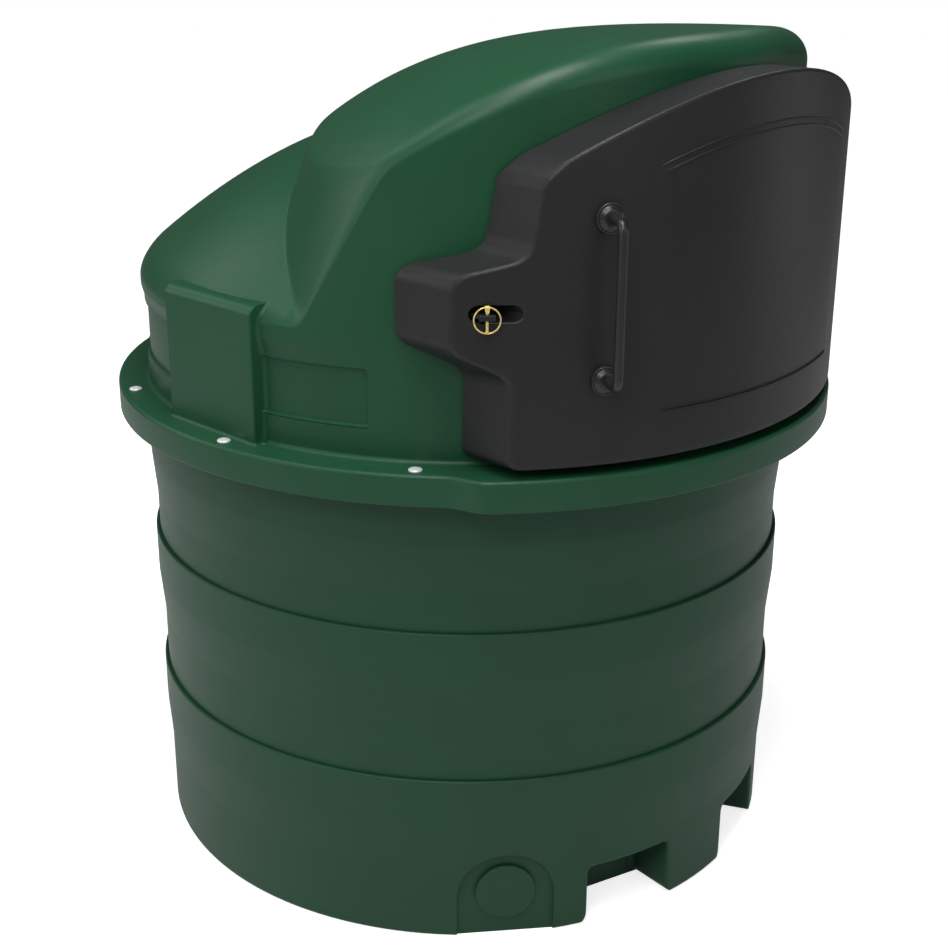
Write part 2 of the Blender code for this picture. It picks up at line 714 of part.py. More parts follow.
def make_latch(dark, plated):
    plug_back, plug_front = TONGUE_Y
    face = facing(PIN_ANGLE)
    pin_w = DOOR_FRONT_R + PIN_OUT
    pin_x, pin_y = polar(pin_w, PIN_ANGLE, 0.0)[:2]
    tongue = prism("latch_tongue", slot_outline(GAP), plug_back, plug_front, along_y, dark)
    bar = prism("tongue_bar", box_outline(pin_x, TONGUE_Z, TONGUE_W, TONGUE_H),
                (plug_back + plug_front) / 2, pin_y - TONGUE_PAST_PIN, along_y)
    boolean(tongue, bar, "UNION")
    hole = prism("tongue_hole", circle(pin_x, pin_y, PIN_R + GAP, 16), TONGUE_Z - TONGUE_H,
                 TONGUE_Z + TONGUE_H, along_z)
    boolean(tongue, hole)

    head_foot = TONGUE_Z + TONGUE_H / 2 + GAP
    head_top = RING_Z + RING_R + PIN_HEAD_RISE
    pin_foot = RING_Z - RING_R + RING_WIRE_R + GAP
    middle = (head_foot + head_top) / 2
    pin = prism("latch_pin", circle(pin_x, pin_y, PIN_R, 16), pin_foot, middle, along_z, plated)
    head = prism("pin_head", box_outline(0.0, middle, PIN_HEAD_W, head_top - head_foot),
                 pin_w - PIN_HEAD_T / 2, pin_w + PIN_HEAD_T / 2, face)
    boolean(pin, head, "UNION")
    bore = prism("head_bore", circle(pin_w, RING_Z + RING_R, RING_WIRE_R + RING_PLAY, 16),
                 -RING_R, RING_R, lambda u, v, w: face(w, v, u))
    boolean(pin, bore)

    bm = bmesh.new()
    loops = []
    for a in full_circle(12.0):
        loop = []
        for b in full_circle(45.0):
            reach = RING_R + RING_WIRE_R * cos(radians(b))
            loop.append(bm.verts.new(face(reach * cos(radians(a)), RING_Z + reach * sin(radians(a)),
                                          pin_w + RING_WIRE_R * sin(radians(b)))))
        loops.append(loop)
    for one, two in zip(loops, loops[1:] + loops[:1]):
        for i in range(len(one)):
            j = (i + 1) % len(one)
            bm.faces.new((one[i], one[j], two[j], two[i]))
    finish("latch_ring", bm, plated, 80.0)


def make_handle(mat):
    face = facing(HANDLE_ANGLE)
    seat = DOOR_FRONT_R + GAP
    for name, z in zip(("lower_handle_boss", "upper_handle_boss"), HANDLE_Z):
        prism(name, circle(0.0, z, BOSS_R, 24), seat, seat + BOSS_T, face, mat)
    low, high = HANDLE_Z
    start = seat + BOSS_T + GAP
    far = seat + ROD_STANDOFF
    route = [(start, low)]
    for a in steps(-90.0, 0.0, 18.0):
        route.append((far - ROD_BEND_R + ROD_BEND_R * cos(radians(a)),
                      low + ROD_BEND_R + ROD_BEND_R * sin(radians(a))))
    for a in steps(0.0, 90.0, 18.0):
        route.append((far - ROD_BEND_R + ROD_BEND_R * cos(radians(a)),
                      high - ROD_BEND_R + ROD_BEND_R * sin(radians(a))))
    route.append((start, high))
    bm = bmesh.new()
    across = face(1.0, 0.0, 0.0)
    points = [face(0.0, z, w) for w, z in route]
    loops = []
    for i, point in enumerate(points):
        if i in (0, len(points) - 1):
            along = face(0.0, 0.0, 1.0) * (1.0 if i == 0 else -1.0)
        else:
            along = ((points[i + 1] - point).normalized() + (point - points[i - 1]).normalized())
            along.normalize()
        side = along.cross(across).normalized()
        loops.append([bm.verts.new(point + (across * cos(radians(b)) + side * sin(radians(b))) * ROD_R)
                      for b in full_circle(30.0)])
    for one, two in zip(loops, loops[1:]):
        for i in range(len(one)):
            j = (i + 1) % len(one)
            bm.faces.new((one[i], one[j], two[j], two[i]))
    bm.faces.new(loops[0])
    bm.faces.new(loops[-1])
    finish("door_handle", bm, mat)


# Hinges

def wrap(points):
    """Convex loop round some plan points."""
    ordered = sorted(set((round(u, 6), round(v, 6)) for u, v in points))

    def half(items):
        chain = []
        for p in items:
            while len(chain) > 1:
                a, b = chain[-2], chain[-1]
                if (b[0] - a[0]) * (p[1] - a[1]) - (b[1] - a[1]) * (p[0] - a[0]) > 0:
                    break
                chain.pop()
            chain.append(p)
        return chain[:-1]

    return half(ordered) + half(list(reversed(ordered)))


def make_hinges(mat):
    barrel = circle(HINGE_X, HINGE_Y, BARREL_R, 20)
    start, end = HINGE_LEAF
    seat = HOOD_R + HINGE_SEAT_GAP
    root = [tuple(polar(seat + HINGE_LEAF_T / 2, a, 0.0)[:2]) for a in (start, HINGE_ARM_TO)]
    for name, z in zip(("lower", "upper"), HINGE_Z):
        half = HINGE_H / 2
        gap = KNUCKLE_H / 2 + GAP
        leaf = [(seat, z - half), (seat + HINGE_LEAF_T, z - half), (seat + HINGE_LEAF_T, z + half),
                (seat, z + half)]
        bracket = sweep(name + "_hinge_bracket", lambda a, leaf=leaf: leaf,
                        steps(start, end, HINGE_LEAF_STEP), mat)
        arm_plan = wrap(barrel + root)
        for part, low, high in (("_top", z + gap, z + half), ("_foot", z - half, z - gap)):
            boolean(bracket, prism(name + part, arm_plan, low, high, along_z), "UNION")
        reach = half - HINGE_PIN_SHORT
        pin = prism(name + "_hinge_pin", circle(HINGE_X, HINGE_Y, HINGE_PIN_R, 16), z - reach, z + reach,
                    along_z)
        boolean(bracket, pin, "UNION")

        side = DOOR_HALF_W + GAP
        plan = wrap(barrel + [(side, HINGE_Y - reach) for reach in STRAP_REACH])
        strap = prism(name + "_hinge_strap", plan, z - KNUCKLE_H / 2, z + KNUCKLE_H / 2, along_z, mat)
        boolean(strap, prism(name + "_strap_bore", circle(HINGE_X, HINGE_Y, HINGE_BORE_R, 16),
                             z - KNUCKLE_H, z + KNUCKLE_H, along_z))


clear_scene()
green = make_material("green_moulded", (0.026, 0.062, 0.040), 0.45)
lid_green = make_material("green_hood", (0.026, 0.080, 0.046), 0.45)
black = make_material("black_moulded", (0.027, 0.027, 0.027), 0.5)
plated = make_material("yellow_plated_steel", (0.62, 0.48, 0.14), 0.3, 1.0)
grey = make_material("hinge_steel", (0.10, 0.10, 0.10), 0.4, 1.0)
make_base(green)
make_foot(green)
make_discs(green)
make_bands(green)
make_flanges(lid_green)
make_hood(lid_green)
make_pads(lid_green)
make_door(black)
make_latch(black, plated)
make_handle(black)
make_hinges(grey)
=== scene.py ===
"""Finished look of a vertical fuel storage tank: a banded round body, a bolted hood that rises to a
cabinet at the front, and a black cabinet door. Metres, +Z up, the door faces -Y. Angles round the
tank are in degrees from the door's centre line, positive towards +X."""

from math import atan2, cos, hypot, pi, radians, sin, sqrt, tan

import bmesh
import bpy
from mathutils import Matrix, Vector, geometry
from mathutils.bvhtree import BVHTree


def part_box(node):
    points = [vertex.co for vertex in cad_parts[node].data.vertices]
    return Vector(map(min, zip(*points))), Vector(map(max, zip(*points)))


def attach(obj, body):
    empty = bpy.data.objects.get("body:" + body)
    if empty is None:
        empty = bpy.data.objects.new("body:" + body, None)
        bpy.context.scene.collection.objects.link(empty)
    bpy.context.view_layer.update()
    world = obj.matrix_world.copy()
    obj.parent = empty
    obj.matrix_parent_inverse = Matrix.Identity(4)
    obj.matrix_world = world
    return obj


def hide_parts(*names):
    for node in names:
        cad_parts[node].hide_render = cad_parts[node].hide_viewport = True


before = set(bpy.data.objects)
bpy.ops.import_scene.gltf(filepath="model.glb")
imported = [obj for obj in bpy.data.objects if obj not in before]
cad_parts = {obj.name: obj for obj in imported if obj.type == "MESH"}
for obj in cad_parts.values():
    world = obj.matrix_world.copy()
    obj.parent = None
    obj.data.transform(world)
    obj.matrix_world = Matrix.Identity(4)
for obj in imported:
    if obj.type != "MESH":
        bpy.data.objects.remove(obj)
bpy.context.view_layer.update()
collection = bpy.context.scene.collection


# Tank body
# The body is one hollow moulding of green polyethylene, coloured through: flat base, three tiers that
# each widen towards their own ledge, and the flange that the hood is bolted to. Two fork pockets open
# at the front and two behind, and an arched flat is set into the wall on either side of the front.

class Value:
    """An output of a node that takes part in sums, so that a pattern reads as a formula."""

    def __init__(self, nodes, socket):
        self.nodes = nodes
        self.socket = socket

    def math(self, operation, *others):
        values = dict(enumerate((self, *others)))
        return self.nodes.add("ShaderNodeMath", {"operation": operation}, values)

    def __add__(self, other):
        return self.math("ADD", other)

    def __sub__(self, other):
        return self.math("SUBTRACT", other)

    def __mul__(self, other):
        return self.math("MULTIPLY", other)

    def __truediv__(self, other):
        return self.math("DIVIDE", other)

    def __radd__(self, other):
        return self.nodes.number(other) + self

    def __rsub__(self, other):
        return self.nodes.number(other) - self

    def __rmul__(self, other):
        return self.nodes.number(other) * self

    def clamped(self):
        return self.math("MAXIMUM", 0.0).math("MINIMUM", 1.0)


class Nodes:
    """A node tree under construction, for a finish or for a shape."""

    def __init__(self, tree):
        self.tree = tree

    def add(self, kind, settings=None, sockets=None, output=0):
        """Adds a node: its settings first, then the values or links of its sockets."""
        node = self.tree.nodes.new(kind)
        for name, setting in (settings or {}).items():
            setattr(node, name, setting)
        for key, value in (sockets or {}).items():
            self.feed(node.inputs[key], value)
        return Value(self, node.outputs[output]) if len(node.outputs) else node

    def feed(self, socket, value):
        if isinstance(value, Value):
            self.tree.links.new(value.socket, socket)
        else:
            socket.default_value = value

    def number(self, value):
        return self.add("ShaderNodeMath", {"operation": "ADD"}, {0: value, 1: 0.0})

    def noise(self, place, scale, detail=2.0, roughness=0.5):
        sockets = {"Vector": place, "Scale": scale, "Detail": detail, "Roughness": roughness}
        return self.add("ShaderNodeTexNoise", None, sockets)

    def mixed(self, factor, colour, other):
        return self.add("ShaderNodeMix", {"data_type": "RGBA"}, {0: factor, 6: colour, 7: other}, 2)

    def relief(self, height, distance, strength, under=None):
        sockets = {"Height": height, "Distance": distance, "Strength": strength}
        if under is not None:
            sockets["Normal"] = under
        return self.add("ShaderNodeBump", None, sockets)


def finish_named(name):
    """A new material and the nodes of its tree, with its own shader kept."""
    material = bpy.data.materials.new(name)
    material.use_nodes = True
    nodes = Nodes(material.node_tree)
    shader = material.node_tree.nodes["Principled BSDF"]
    place = nodes.add("ShaderNodeTexCoord", None, None, "Object")
    return material, nodes, shader, place


def srgb(*levels):
    """Colour as the eye reads it, each level 0 to 255, turned into light values."""
    return tuple(((level / 255 + 0.055) / 1.055) ** 2.4 for level in levels) + (1.0,)


def moulded(name, deep, pale, gloss, grain_depth):
    """Satin polyethylene: two close tones in slow drifts, a fine grain from the mould, and long
    shallow waves where the wall has cooled."""
    material, nodes, shader, place = finish_named(name)
    drift = nodes.noise(place, 5.0, 4.0, 0.55)
    grain = nodes.noise(place, 340.0, 3.0, 0.6)
    speck = nodes.noise(place, 150.0, 2.0, 0.5)
    tone = (drift * 0.7 + grain * 0.2 + speck * 0.1).clamped()
    nodes.feed(shader.inputs["Base Color"], nodes.mixed(tone, deep, pale))
    nodes.feed(shader.inputs["Roughness"], gloss + (drift - 0.5) * 0.10 + (grain - 0.5) * 0.16)
    waves = nodes.relief(nodes.noise(place, 3.2, 1.0), 0.004, 0.35)
    pits = nodes.relief(speck * 0.4 + grain * 0.6, grain_depth, 0.5, waves)
    nodes.feed(shader.inputs["Normal"], pits)
    shader.inputs["Specular IOR Level"].default_value = 0.29
    return material


body_green = moulded("body_green", srgb(26, 66, 44), srgb(34, 78, 54), 0.42, 0.0010)


def arc(cu, cv, radius, start, end, count=6):
    """Points (u, v) on an arc, angles in degrees from +u towards +v."""
    return [(cu + radius * cos(radians(start + (end - start) * i / count)),
             cv + radius * sin(radians(start + (end - start) * i / count))) for i in range(count + 1)]


def eased(corners, count=4, closed=False):
    """Path through corners (u, v, radius), each turned into an arc of its radius."""
    path = []
    last = len(corners) - 1
    for i, (u, v, radius) in enumerate(corners):
        if radius <= 0.0 or (not closed and i in (0, last)):
            path.append((u, v))
            continue
        here = Vector((u, v))
        back = (Vector(corners[i - 1][:2]) - here).normalized()
        on = (Vector(corners[(i + 1) % len(corners)][:2]) - here).normalized()
        half = back.angle(on) / 2
        middle = here + (back + on).normalized() * radius / sin(half)
        first = here + back * radius / tan(half) - middle
        turn = first.angle_signed(here + on * radius / tan(half) - middle)
        begin = atan2(first.y, first.x)
        path += [(middle.x + radius * cos(begin - turn * k / count),
                  middle.y + radius * sin(begin - turn * k / count)) for k in range(count + 1)]
    return path


def joined(bm, loops):
    """Faces between closed loops of as many points each."""
    for one, two in zip(loops, loops[1:]):
        for i in range(len(one)):
            j = (i + 1) % len(one)
            bm.faces.new((one[i], one[j], two[j], two[i]))


def new_piece(name, bm, material=None, merge=1e-6):
    """Closed piece from a bmesh, its doubles merged and its faces turned outwards."""
    bmesh.ops.remove_doubles(bm, verts=bm.verts, dist=merge)
    bmesh.ops.recalc_face_normals(bm, faces=bm.faces)
    mesh = bpy.data.meshes.new(name)
    bm.to_mesh(mesh)
    bm.free()
    piece = bpy.data.objects.new(name, mesh)
    collection.objects.link(piece)
    if material is not None:
        mesh.materials.append(material)
    return piece


def settle(piece):
    """Turns what the piece's modifiers make into its own plain mesh."""
    view = bpy.context.evaluated_depsgraph_get()
    mesh = bpy.data.meshes.new_from_object(piece.evaluated_get(view), preserve_all_data_layers=True,
                                           depsgraph=view)
    piece.modifiers.clear()
    piece.data = mesh
    mesh.name = piece.name
    finish = next((material for material in mesh.materials if material), None)
    mesh.materials.clear()
    mesh.polygons.foreach_set("material_index", [0] * len(mesh.polygons))
    if finish is not None:
        mesh.materials.append(finish)
    return piece


def cut(piece, cutter, operation="DIFFERENCE"):
    cutter.data.materials.append(piece.data.materials[0])
    modifier = piece.modifiers.new("Cut", "BOOLEAN")
    modifier.operation = operation
    modifier.solver = "EXACT"
    modifier.object = cutter
    settle(piece)
    bpy.data.objects.remove(cutter, do_unlink=True)
    return piece


def smooth(piece, angle=32.0):
    """Smooth shading that breaks at the real edges and leans on the broad faces."""
    piece.data.shade_smooth()
    piece.data.set_sharp_from_angle(angle=radians(angle))
    modifier = piece.modifiers.new("Weighted", "WEIGHTED_NORMAL")
    modifier.keep_sharp = True
    return settle(piece)


def install(piece, body, slot, *nodes):
    """The piece moves with a body and stands for some of its nodes. Its slot argument is not used."""
    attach(piece, body)
    if nodes:
        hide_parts(*nodes)
    return piece


def shape_tree(name, inputs):
    """A tree that makes a shape, with its group nodes and its named inputs."""
    tree = bpy.data.node_groups.new(name, "GeometryNodeTree")
    tree.interface.new_socket("Geometry", in_out="INPUT", socket_type="NodeSocketGeometry")
    for title, kind in inputs.items():
        tree.interface.new_socket(title, in_out="INPUT", socket_type="NodeSocket" + kind)
    tree.interface.new_socket("Geometry", in_out="OUTPUT", socket_type="NodeSocketGeometry")
    nodes = Nodes(tree)
    given = tree.nodes.new("NodeGroupInput")
    return nodes, {socket.name: Value(nodes, socket) for socket in given.outputs if socket.name}


def close_tree(nodes, shape, finish):
    """Every shape ends as real faces with its finish on them."""
    real = nodes.add("GeometryNodeRealizeInstances", None, {"Geometry": shape})
    dressed = nodes.add("GeometryNodeSetMaterial", None, {"Geometry": real, "Material": finish})
    nodes.add("NodeGroupOutput", None, {"Geometry": dressed})
    return nodes.tree


def shaped(piece, tree, **inputs):
    """Runs a shape tree on a piece's own mesh, and keeps the result as a plain mesh."""
    modifier = piece.modifiers.new("Shape", "NODES")
    modifier.node_group = tree
    for item in tree.interface.items_tree:
        title = item.name.lower().replace(" ", "_")
        if item.in_out == "INPUT" and title in inputs:
            modifier[item.identifier] = inputs[title]
    return settle(piece)


def grow(name, tree, points, edges, **inputs):
    """Makes a piece with a shape tree from a few points and the edges between them."""
    mesh = bpy.data.meshes.new(name)
    mesh.from_pydata(points, edges, [])
    piece = bpy.data.objects.new(name, mesh)
    collection.objects.link(piece)
    return shaped(piece, tree, **inputs)


sizes = {"Columns": "Int", "Rows": "Int", "Front Reach": "Float", "Reach Full To": "Float",
         "Reach Gone By": "Float", "Finish": "Material"}
nodes, given = shape_tree("turned_moulding", sizes)
index = nodes.add("GeometryNodeInputIndex")
column = (index / given["Rows"]).math("FLOOR")
row = index - column * given["Rows"]
turn = column / given["Columns"] * 360.0
away = 180.0 - (turn - 180.0).math("ABSOLUTE")
ramp = ((away - given["Reach Full To"]) / (given["Reach Gone By"] - given["Reach Full To"])).clamped()
reach = given["Front Reach"] * (1.0 - ramp * ramp * (3.0 - 2.0 * ramp))
here = nodes.add("GeometryNodeInputPosition")
point = nodes.add("GeometryNodeSampleIndex", {"data_type": "FLOAT_VECTOR"},
                  {"Geometry": given["Geometry"], "Value": here, "Index": row})
radius = nodes.add("ShaderNodeSeparateXYZ", None, {0: point}, "X")
share = nodes.add("ShaderNodeSeparateXYZ", None, {0: point}, "Y")
height = nodes.add("ShaderNodeSeparateXYZ", None, {0: point}, "Z")
radius = radius + share * reach
angle = turn.math("RADIANS")
spot = nodes.add("ShaderNodeCombineXYZ", None, {"X": radius * angle.math("SINE"), "Z": height,
                                                "Y": 0.0 - radius * angle.math("COSINE")})
sheet = nodes.add("GeometryNodeMeshGrid", None, {"Vertices X": given["Columns"] + 1.0,
                                                 "Vertices Y": given["Rows"]})
sheet = nodes.add("GeometryNodeSetPosition", None, {"Geometry": sheet, "Position": spot})
sheet = nodes.add("GeometryNodeMergeByDistance", None, {"Geometry": sheet, "Distance": 0.00005})
turned_moulding = close_tree(nodes, sheet, given["Finish"])

body_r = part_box("upper_band")[1].x
tier_tops = [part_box(name)[1].z for name in ("lower_band", "middle_band")]
flange_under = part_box("tank_flange")[0].z
flange_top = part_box("tank_flange")[1].z
flange_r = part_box("tank_flange")[1].x
front_reach = -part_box("tank_flange")[0].y - flange_r
base_r = 0.701
tier_foot_r = 0.699
taper_h = 0.100
taper_round = 0.15
lip_r = 0.0035
crease_out = 0.0012
crease_drop = 0.0018
reach_full_to = 43.0
reach_gone_by = 49.0


def wall_radius(z):
    """Radius of the lowest tier's wall."""
    start = tier_tops[0] - 2 * taper_h
    return base_r + (body_r - base_r) * min(1.0, max(0.0, (z - start) / taper_h))


def tier(foot_z, foot_r, top_z):
    """Profile of one tier: upright foot, taper, upright top, then the rounded ledge and its crease."""
    taper_foot = top_z - 2 * taper_h
    foot = [(foot_r, foot_z, 0.0)] if foot_z > 0.0 else []
    return foot + [(foot_r, taper_foot, taper_round), (body_r, taper_foot + taper_h, taper_round),
                   (body_r, top_z, lip_r), (tier_foot_r + crease_out, top_z, 0.0008),
                   (tier_foot_r + 0.5 * crease_out, top_z - crease_drop, 0.0)]


skirt_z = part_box("hood_flange")[0].z
corners = [(0.0, 0.0, 0.0), (base_r, 0.0, 0.009)]
corners += tier(0.0, base_r, tier_tops[0])
corners += tier(tier_tops[0] - crease_drop, tier_foot_r, tier_tops[1])
corners += [(tier_foot_r, tier_tops[1] - crease_drop, 0.0),
            (tier_foot_r, skirt_z - 2 * taper_h, taper_round),
            (body_r, skirt_z - taper_h, taper_round), (body_r, flange_under, 0.006)]
corners += [(flange_r, flange_under, 0.003), (flange_r, flange_top, 0.003), (0.0, flange_top, 0.0)]
path = eased(corners)
profile = [(r, min(1.0, max(0.0, (r - body_r) / (flange_r - body_r))), z) for r, z in path]
steps = [(i, i + 1) for i in range(len(profile) - 1)]
tank_body = grow("tank_body", turned_moulding, profile, steps, columns=150, rows=len(profile),
                 front_reach=front_reach, reach_full_to=reach_full_to, reach_gone_by=reach_gone_by,
                 finish=body_green)
bm = bmesh.new()
bm.from_mesh(tank_body.data)
bmesh.ops.dissolve_degenerate(bm, edges=bm.edges, dist=1e-6)
bmesh.ops.recalc_face_normals(bm, faces=bm.faces)
bm.to_mesh(tank_body.data)
bm.free()


def facing(angle):
    """Places a point outwards at this angle: u sideways, v up, w away from the tank's axis."""
    a = radians(angle)
    out = Vector((sin(a), -cos(a), 0.0))
    across = Vector((cos(a), sin(a), 0.0))
    return lambda u, v, w: across * u + out * w + Vector((0.0, 0.0, v))


below_ground = -0.010
spread_from = 0.700
cutter_past = 0.020
cutter_end = 0.78


def notch(half_w, ceiling, corner_r, foot_r):
    """Outline of a fork pocket's mouth, open at the ground, with its piers' feet rounded off."""
    def outline(wider):
        side = half_w + wider
        top = ceiling + wider
        foot = max(0.002, foot_r - wider)
        r = corner_r + wider
        right = [(side + foot, below_ground)] + arc(side + foot, foot, foot, 270.0, 180.0)
        right += arc(side - r, top - r, r, 0.0, 90.0)
        middle = [((side - r) * (1.0 - k / 4.0), top) for k in range(1, 8)]
        return right + middle + [(-u, v) for u, v in reversed(right)]
    return outline


def arch(half_w, spring_z):
    """Outline of the arched flat: a round head on upright sides."""
    def outline(wider):
        r = half_w + wider
        return [(r, below_ground)] + arc(0.0, spring_z, r, 0.0, 180.0, 36) + [(-r, below_ground)]
    return outline


def hollow(name, angle, outline, back_w, back_round, mouth_round, spread):
    """Cutter for a hollow in the wall, with a rounded back and a rounded mouth. Where it spreads,
    its sides point at the tank's axis."""
    place = facing(angle)
    rings = []

    def ring_at(wider, w):
        scale = w / spread_from if spread else 1.0
        return [place(u * scale, v, w) for u, v in outline(wider)]

    def ring_under_skin(wider, depth):
        ring = []
        for u, v in outline(wider):
            r = wall_radius(v) - depth
            if spread:
                w = r / sqrt(1.0 + (u / spread_from) ** 2)
                ring.append(place(u * w / spread_from, v, w))
            else:
                ring.append(place(u, v, sqrt(r * r - u * u)))
        return ring

    for turn in (0, 30, 60, 90):
        a = radians(turn)
        rings.append(ring_at(back_round * (sin(a) - 1.0), back_w + back_round * (1.0 - cos(a))))
    for turn in (0, 22, 44, 66, 84):
        a = radians(turn)
        rings.append(ring_under_skin(mouth_round * (1.0 - cos(a)), mouth_round * (1.0 - sin(a))))
    wider = mouth_round * (1.0 - cos(a)) + cutter_past * sin(a)
    rings.append(ring_under_skin(wider, -cutter_past * cos(a)))
    rings.append(ring_at(wider, cutter_end))
    bm = bmesh.new()
    rows = [[bm.verts.new(p) for p in ring] for ring in rings]
    joined(bm, rows)
    bm.faces.new(rows[0])
    bm.faces.new(rows[-1])
    return new_piece(name, bm)


pocket_angle = 16.25
pocket_half_w = 0.1027
pocket_roof_t = 0.065
pocket_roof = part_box("front_left_pocket")[1].z - pocket_roof_t
pocket_back = 0.5865
recess_angle = 39.05
recess_half_w = 0.100
recess_spring = 0.094
recess_back = 0.684
pocket_mouth = notch(pocket_half_w, pocket_roof, 0.015, 0.026)
for angle in (-pocket_angle, pocket_angle, 180.0 - pocket_angle, 180.0 + pocket_angle):
    cut(tank_body, hollow("pocket_cut", angle, pocket_mouth, pocket_back, 0.013, 0.007, True))
recess_mouth = arch(recess_half_w, recess_spring)
for angle in (-recess_angle, recess_angle):
    cut(tank_body, hollow("recess_cut", angle, recess_mouth, recess_back, 0.0015, 0.0012, False))
smooth(tank_body)
install(tank_body, "tank", "tank_green", "base_plate", "front_pier", "rear_pier", "left_foot",
        "right_foot", "left_recess", "right_recess", "front_left_pocket", "front_right_pocket",
        "rear_left_pocket", "rear_right_pocket", "lower_band", "middle_band", "upper_band",
        "tank_flange", "tank_top")


# Recess blanks
# A round raised blank stands in each arched flat, where an outlet could be fitted. It is part of
# the moulding, with an eased edge and a fine crease round its foot.

def turned(bm, profile, place, count=64):
    """Adds a turned shape to a bmesh: profile is (radius, distance along its axis)."""
    rings = []
    for r, along in profile:
        if r <= 0.0:
            rings.append([bm.verts.new(place(0.0, 0.0, along))])
        else:
            turns = [2 * pi * k / count for k in range(count)]
            rings.append([bm.verts.new(place(r * cos(a), r * sin(a), along)) for a in turns])
    for one, two in zip(rings, rings[1:]):
        for k in range(count):
            j = (k + 1) % count
            loop = [one[k % len(one)], one[j % len(one)], two[j % len(two)], two[k % len(two)]]
            if len(one) == 1:
                loop = [one[0], two[j], two[k]]
            if len(two) == 1:
                loop = [one[k], one[j], two[0]]
            bm.faces.new(loop)


disc_z = 0.100
disc_r = 0.062
disc_foot = recess_back - 0.0005
disc_face = 0.692
for name, angle in (("left_disc", -recess_angle), ("right_disc", recess_angle)):
    flat = facing(angle)
    bm = bmesh.new()
    outline = eased([(0.0, disc_foot, 0.0), (disc_r, disc_foot, 0.0), (disc_r, disc_face, 0.0016),
                     (0.0, disc_face, 0.0)])
    turned(bm, outline, lambda u, v, w: flat(u, disc_z + v, w))
    install(smooth(new_piece(name + "_blank", bm, body_green)), "tank", "tank_green", name)


# Hood
# The hood is one moulding too: a flange with a deep skirt that drops over the body's flange, a low
# dome behind, and a front raised to an arched cabinet. A shallow band is set into its wall.

hood_green = moulded("hood_green", srgb(24, 70, 45), srgb(32, 83, 56), 0.38, 0.0011)

hood_r = 0.700
hood_t = 0.006
cap_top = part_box("cabinet_roof")[1].z
dome_rim_z = 1.290
dome_rise = 0.304
cap_y = -0.724
cap_drop = 0.1685
cap_reach = 0.600
cap_power = 3.19
cap_stretch = 0.668
step_y = -0.4025
step_r = 0.586
step_z = 1.610
step_slope = 3.09
crease_blend = 0.026
valley_blend = 0.012
rim_rounds = ((0.0, 0.060), (24.0, 0.050), (44.0, 0.036), (57.0, 0.018), (75.0, 0.015), (100.0, 0.030),
              (180.0, 0.035))
band_z = (1.102, 1.210)
band_from = 61.0
band_depth = 0.0060
band_corner_r = 0.006
band_edge = 0.0011
groove_z = band_z[0] - 0.0048
groove_half = 0.0006
groove_depth = 0.0018
eave_out = 0.0055
eave_z = 1.232
eave_span = (62.0, 74.0)
eave_blend = (-0.010, 0.012)


def ramp_between(value, start, end):
    t = min(1.0, max(0.0, (value - start) / (end - start)))
    return t * t * (3.0 - 2.0 * t)


def soft_max(a, b, size):
    h = min(1.0, max(0.0, 0.5 + 0.5 * (a - b) / size))
    return b * (1.0 - h) + a * h + size * h * (1.0 - h)


def soft_min(a, b, size):
    return -soft_max(-a, -b, size)


def edge_r(away):
    """Radius of the hood's rounded rim: large over the door, crisp at the cabinet's corners."""
    for (start, one), (end, two) in zip(rim_rounds, rim_rounds[1:]):
        if away <= end:
            return one + (two - one) * (away - start) / (end - start)
    return rim_rounds[-1][1]


def dome_form(x, y):
    return dome_rim_z + dome_rise * (1.0 - (x * x + y * y) / hood_r ** 2)


def cap_form(x, y):
    return cap_top - cap_drop * (hypot(x, (y - cap_y) * cap_stretch) / cap_reach) ** cap_power


def step_form(x, y):
    return step_z + step_slope * (step_r - hypot(x, y - step_y))


def hood_form(x, y):
    """Height of the hood before its rim is rounded."""
    raised = soft_min(cap_form(x, y), step_form(x, y), crease_blend)
    return soft_max(dome_form(x, y), raised, valley_blend)


def line_reach(angle, form):
    """Distance from the axis at which the steep face meets the cap or the dome."""
    a = radians(angle)
    low = 0.0
    high = 1.2
    for _ in range(40):
        r = 0.5 * (low + high)
        if step_form(r * sin(a), -r * cos(a)) > form(r * sin(a), -r * cos(a)):
            low = r
        else:
            high = r
    return low


def wall_out(away, z):
    """How far the hood's wall stands out from its plain radius: the eave and the sunk band."""
    under, over = eave_blend
    eave = eave_out * ramp_between(away, *eave_span) * ramp_between(z, eave_z + under, eave_z + over)
    low, high = band_z
    along = radians(away - band_from) * hood_r
    in_r = band_corner_r
    aside = max(in_r - along, 0.0)
    up = max(low + in_r - z, z - high + in_r, 0.0)
    depth_in = in_r - hypot(aside, up) if aside > 0.0 and up > 0.0 else min(along, z - low, high - z)
    out = eave - band_depth * ramp_between(depth_in, -band_edge, band_edge)
    if abs(z - groove_z) < groove_half:
        out -= groove_depth * ramp_between(along, -band_edge, band_edge)
    return out


def flange_edge(away):
    reach = 1.0 - ramp_between(away, reach_full_to, reach_gone_by)
    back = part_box("hood_flange")[1].x
    return back + (-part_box("hood_flange")[0].y - back) * reach


crease_half = 0.011
valley_half = 0.0055
kerb_r = 0.009
skirt_nose_r = 0.008
skirt_lip = 0.003


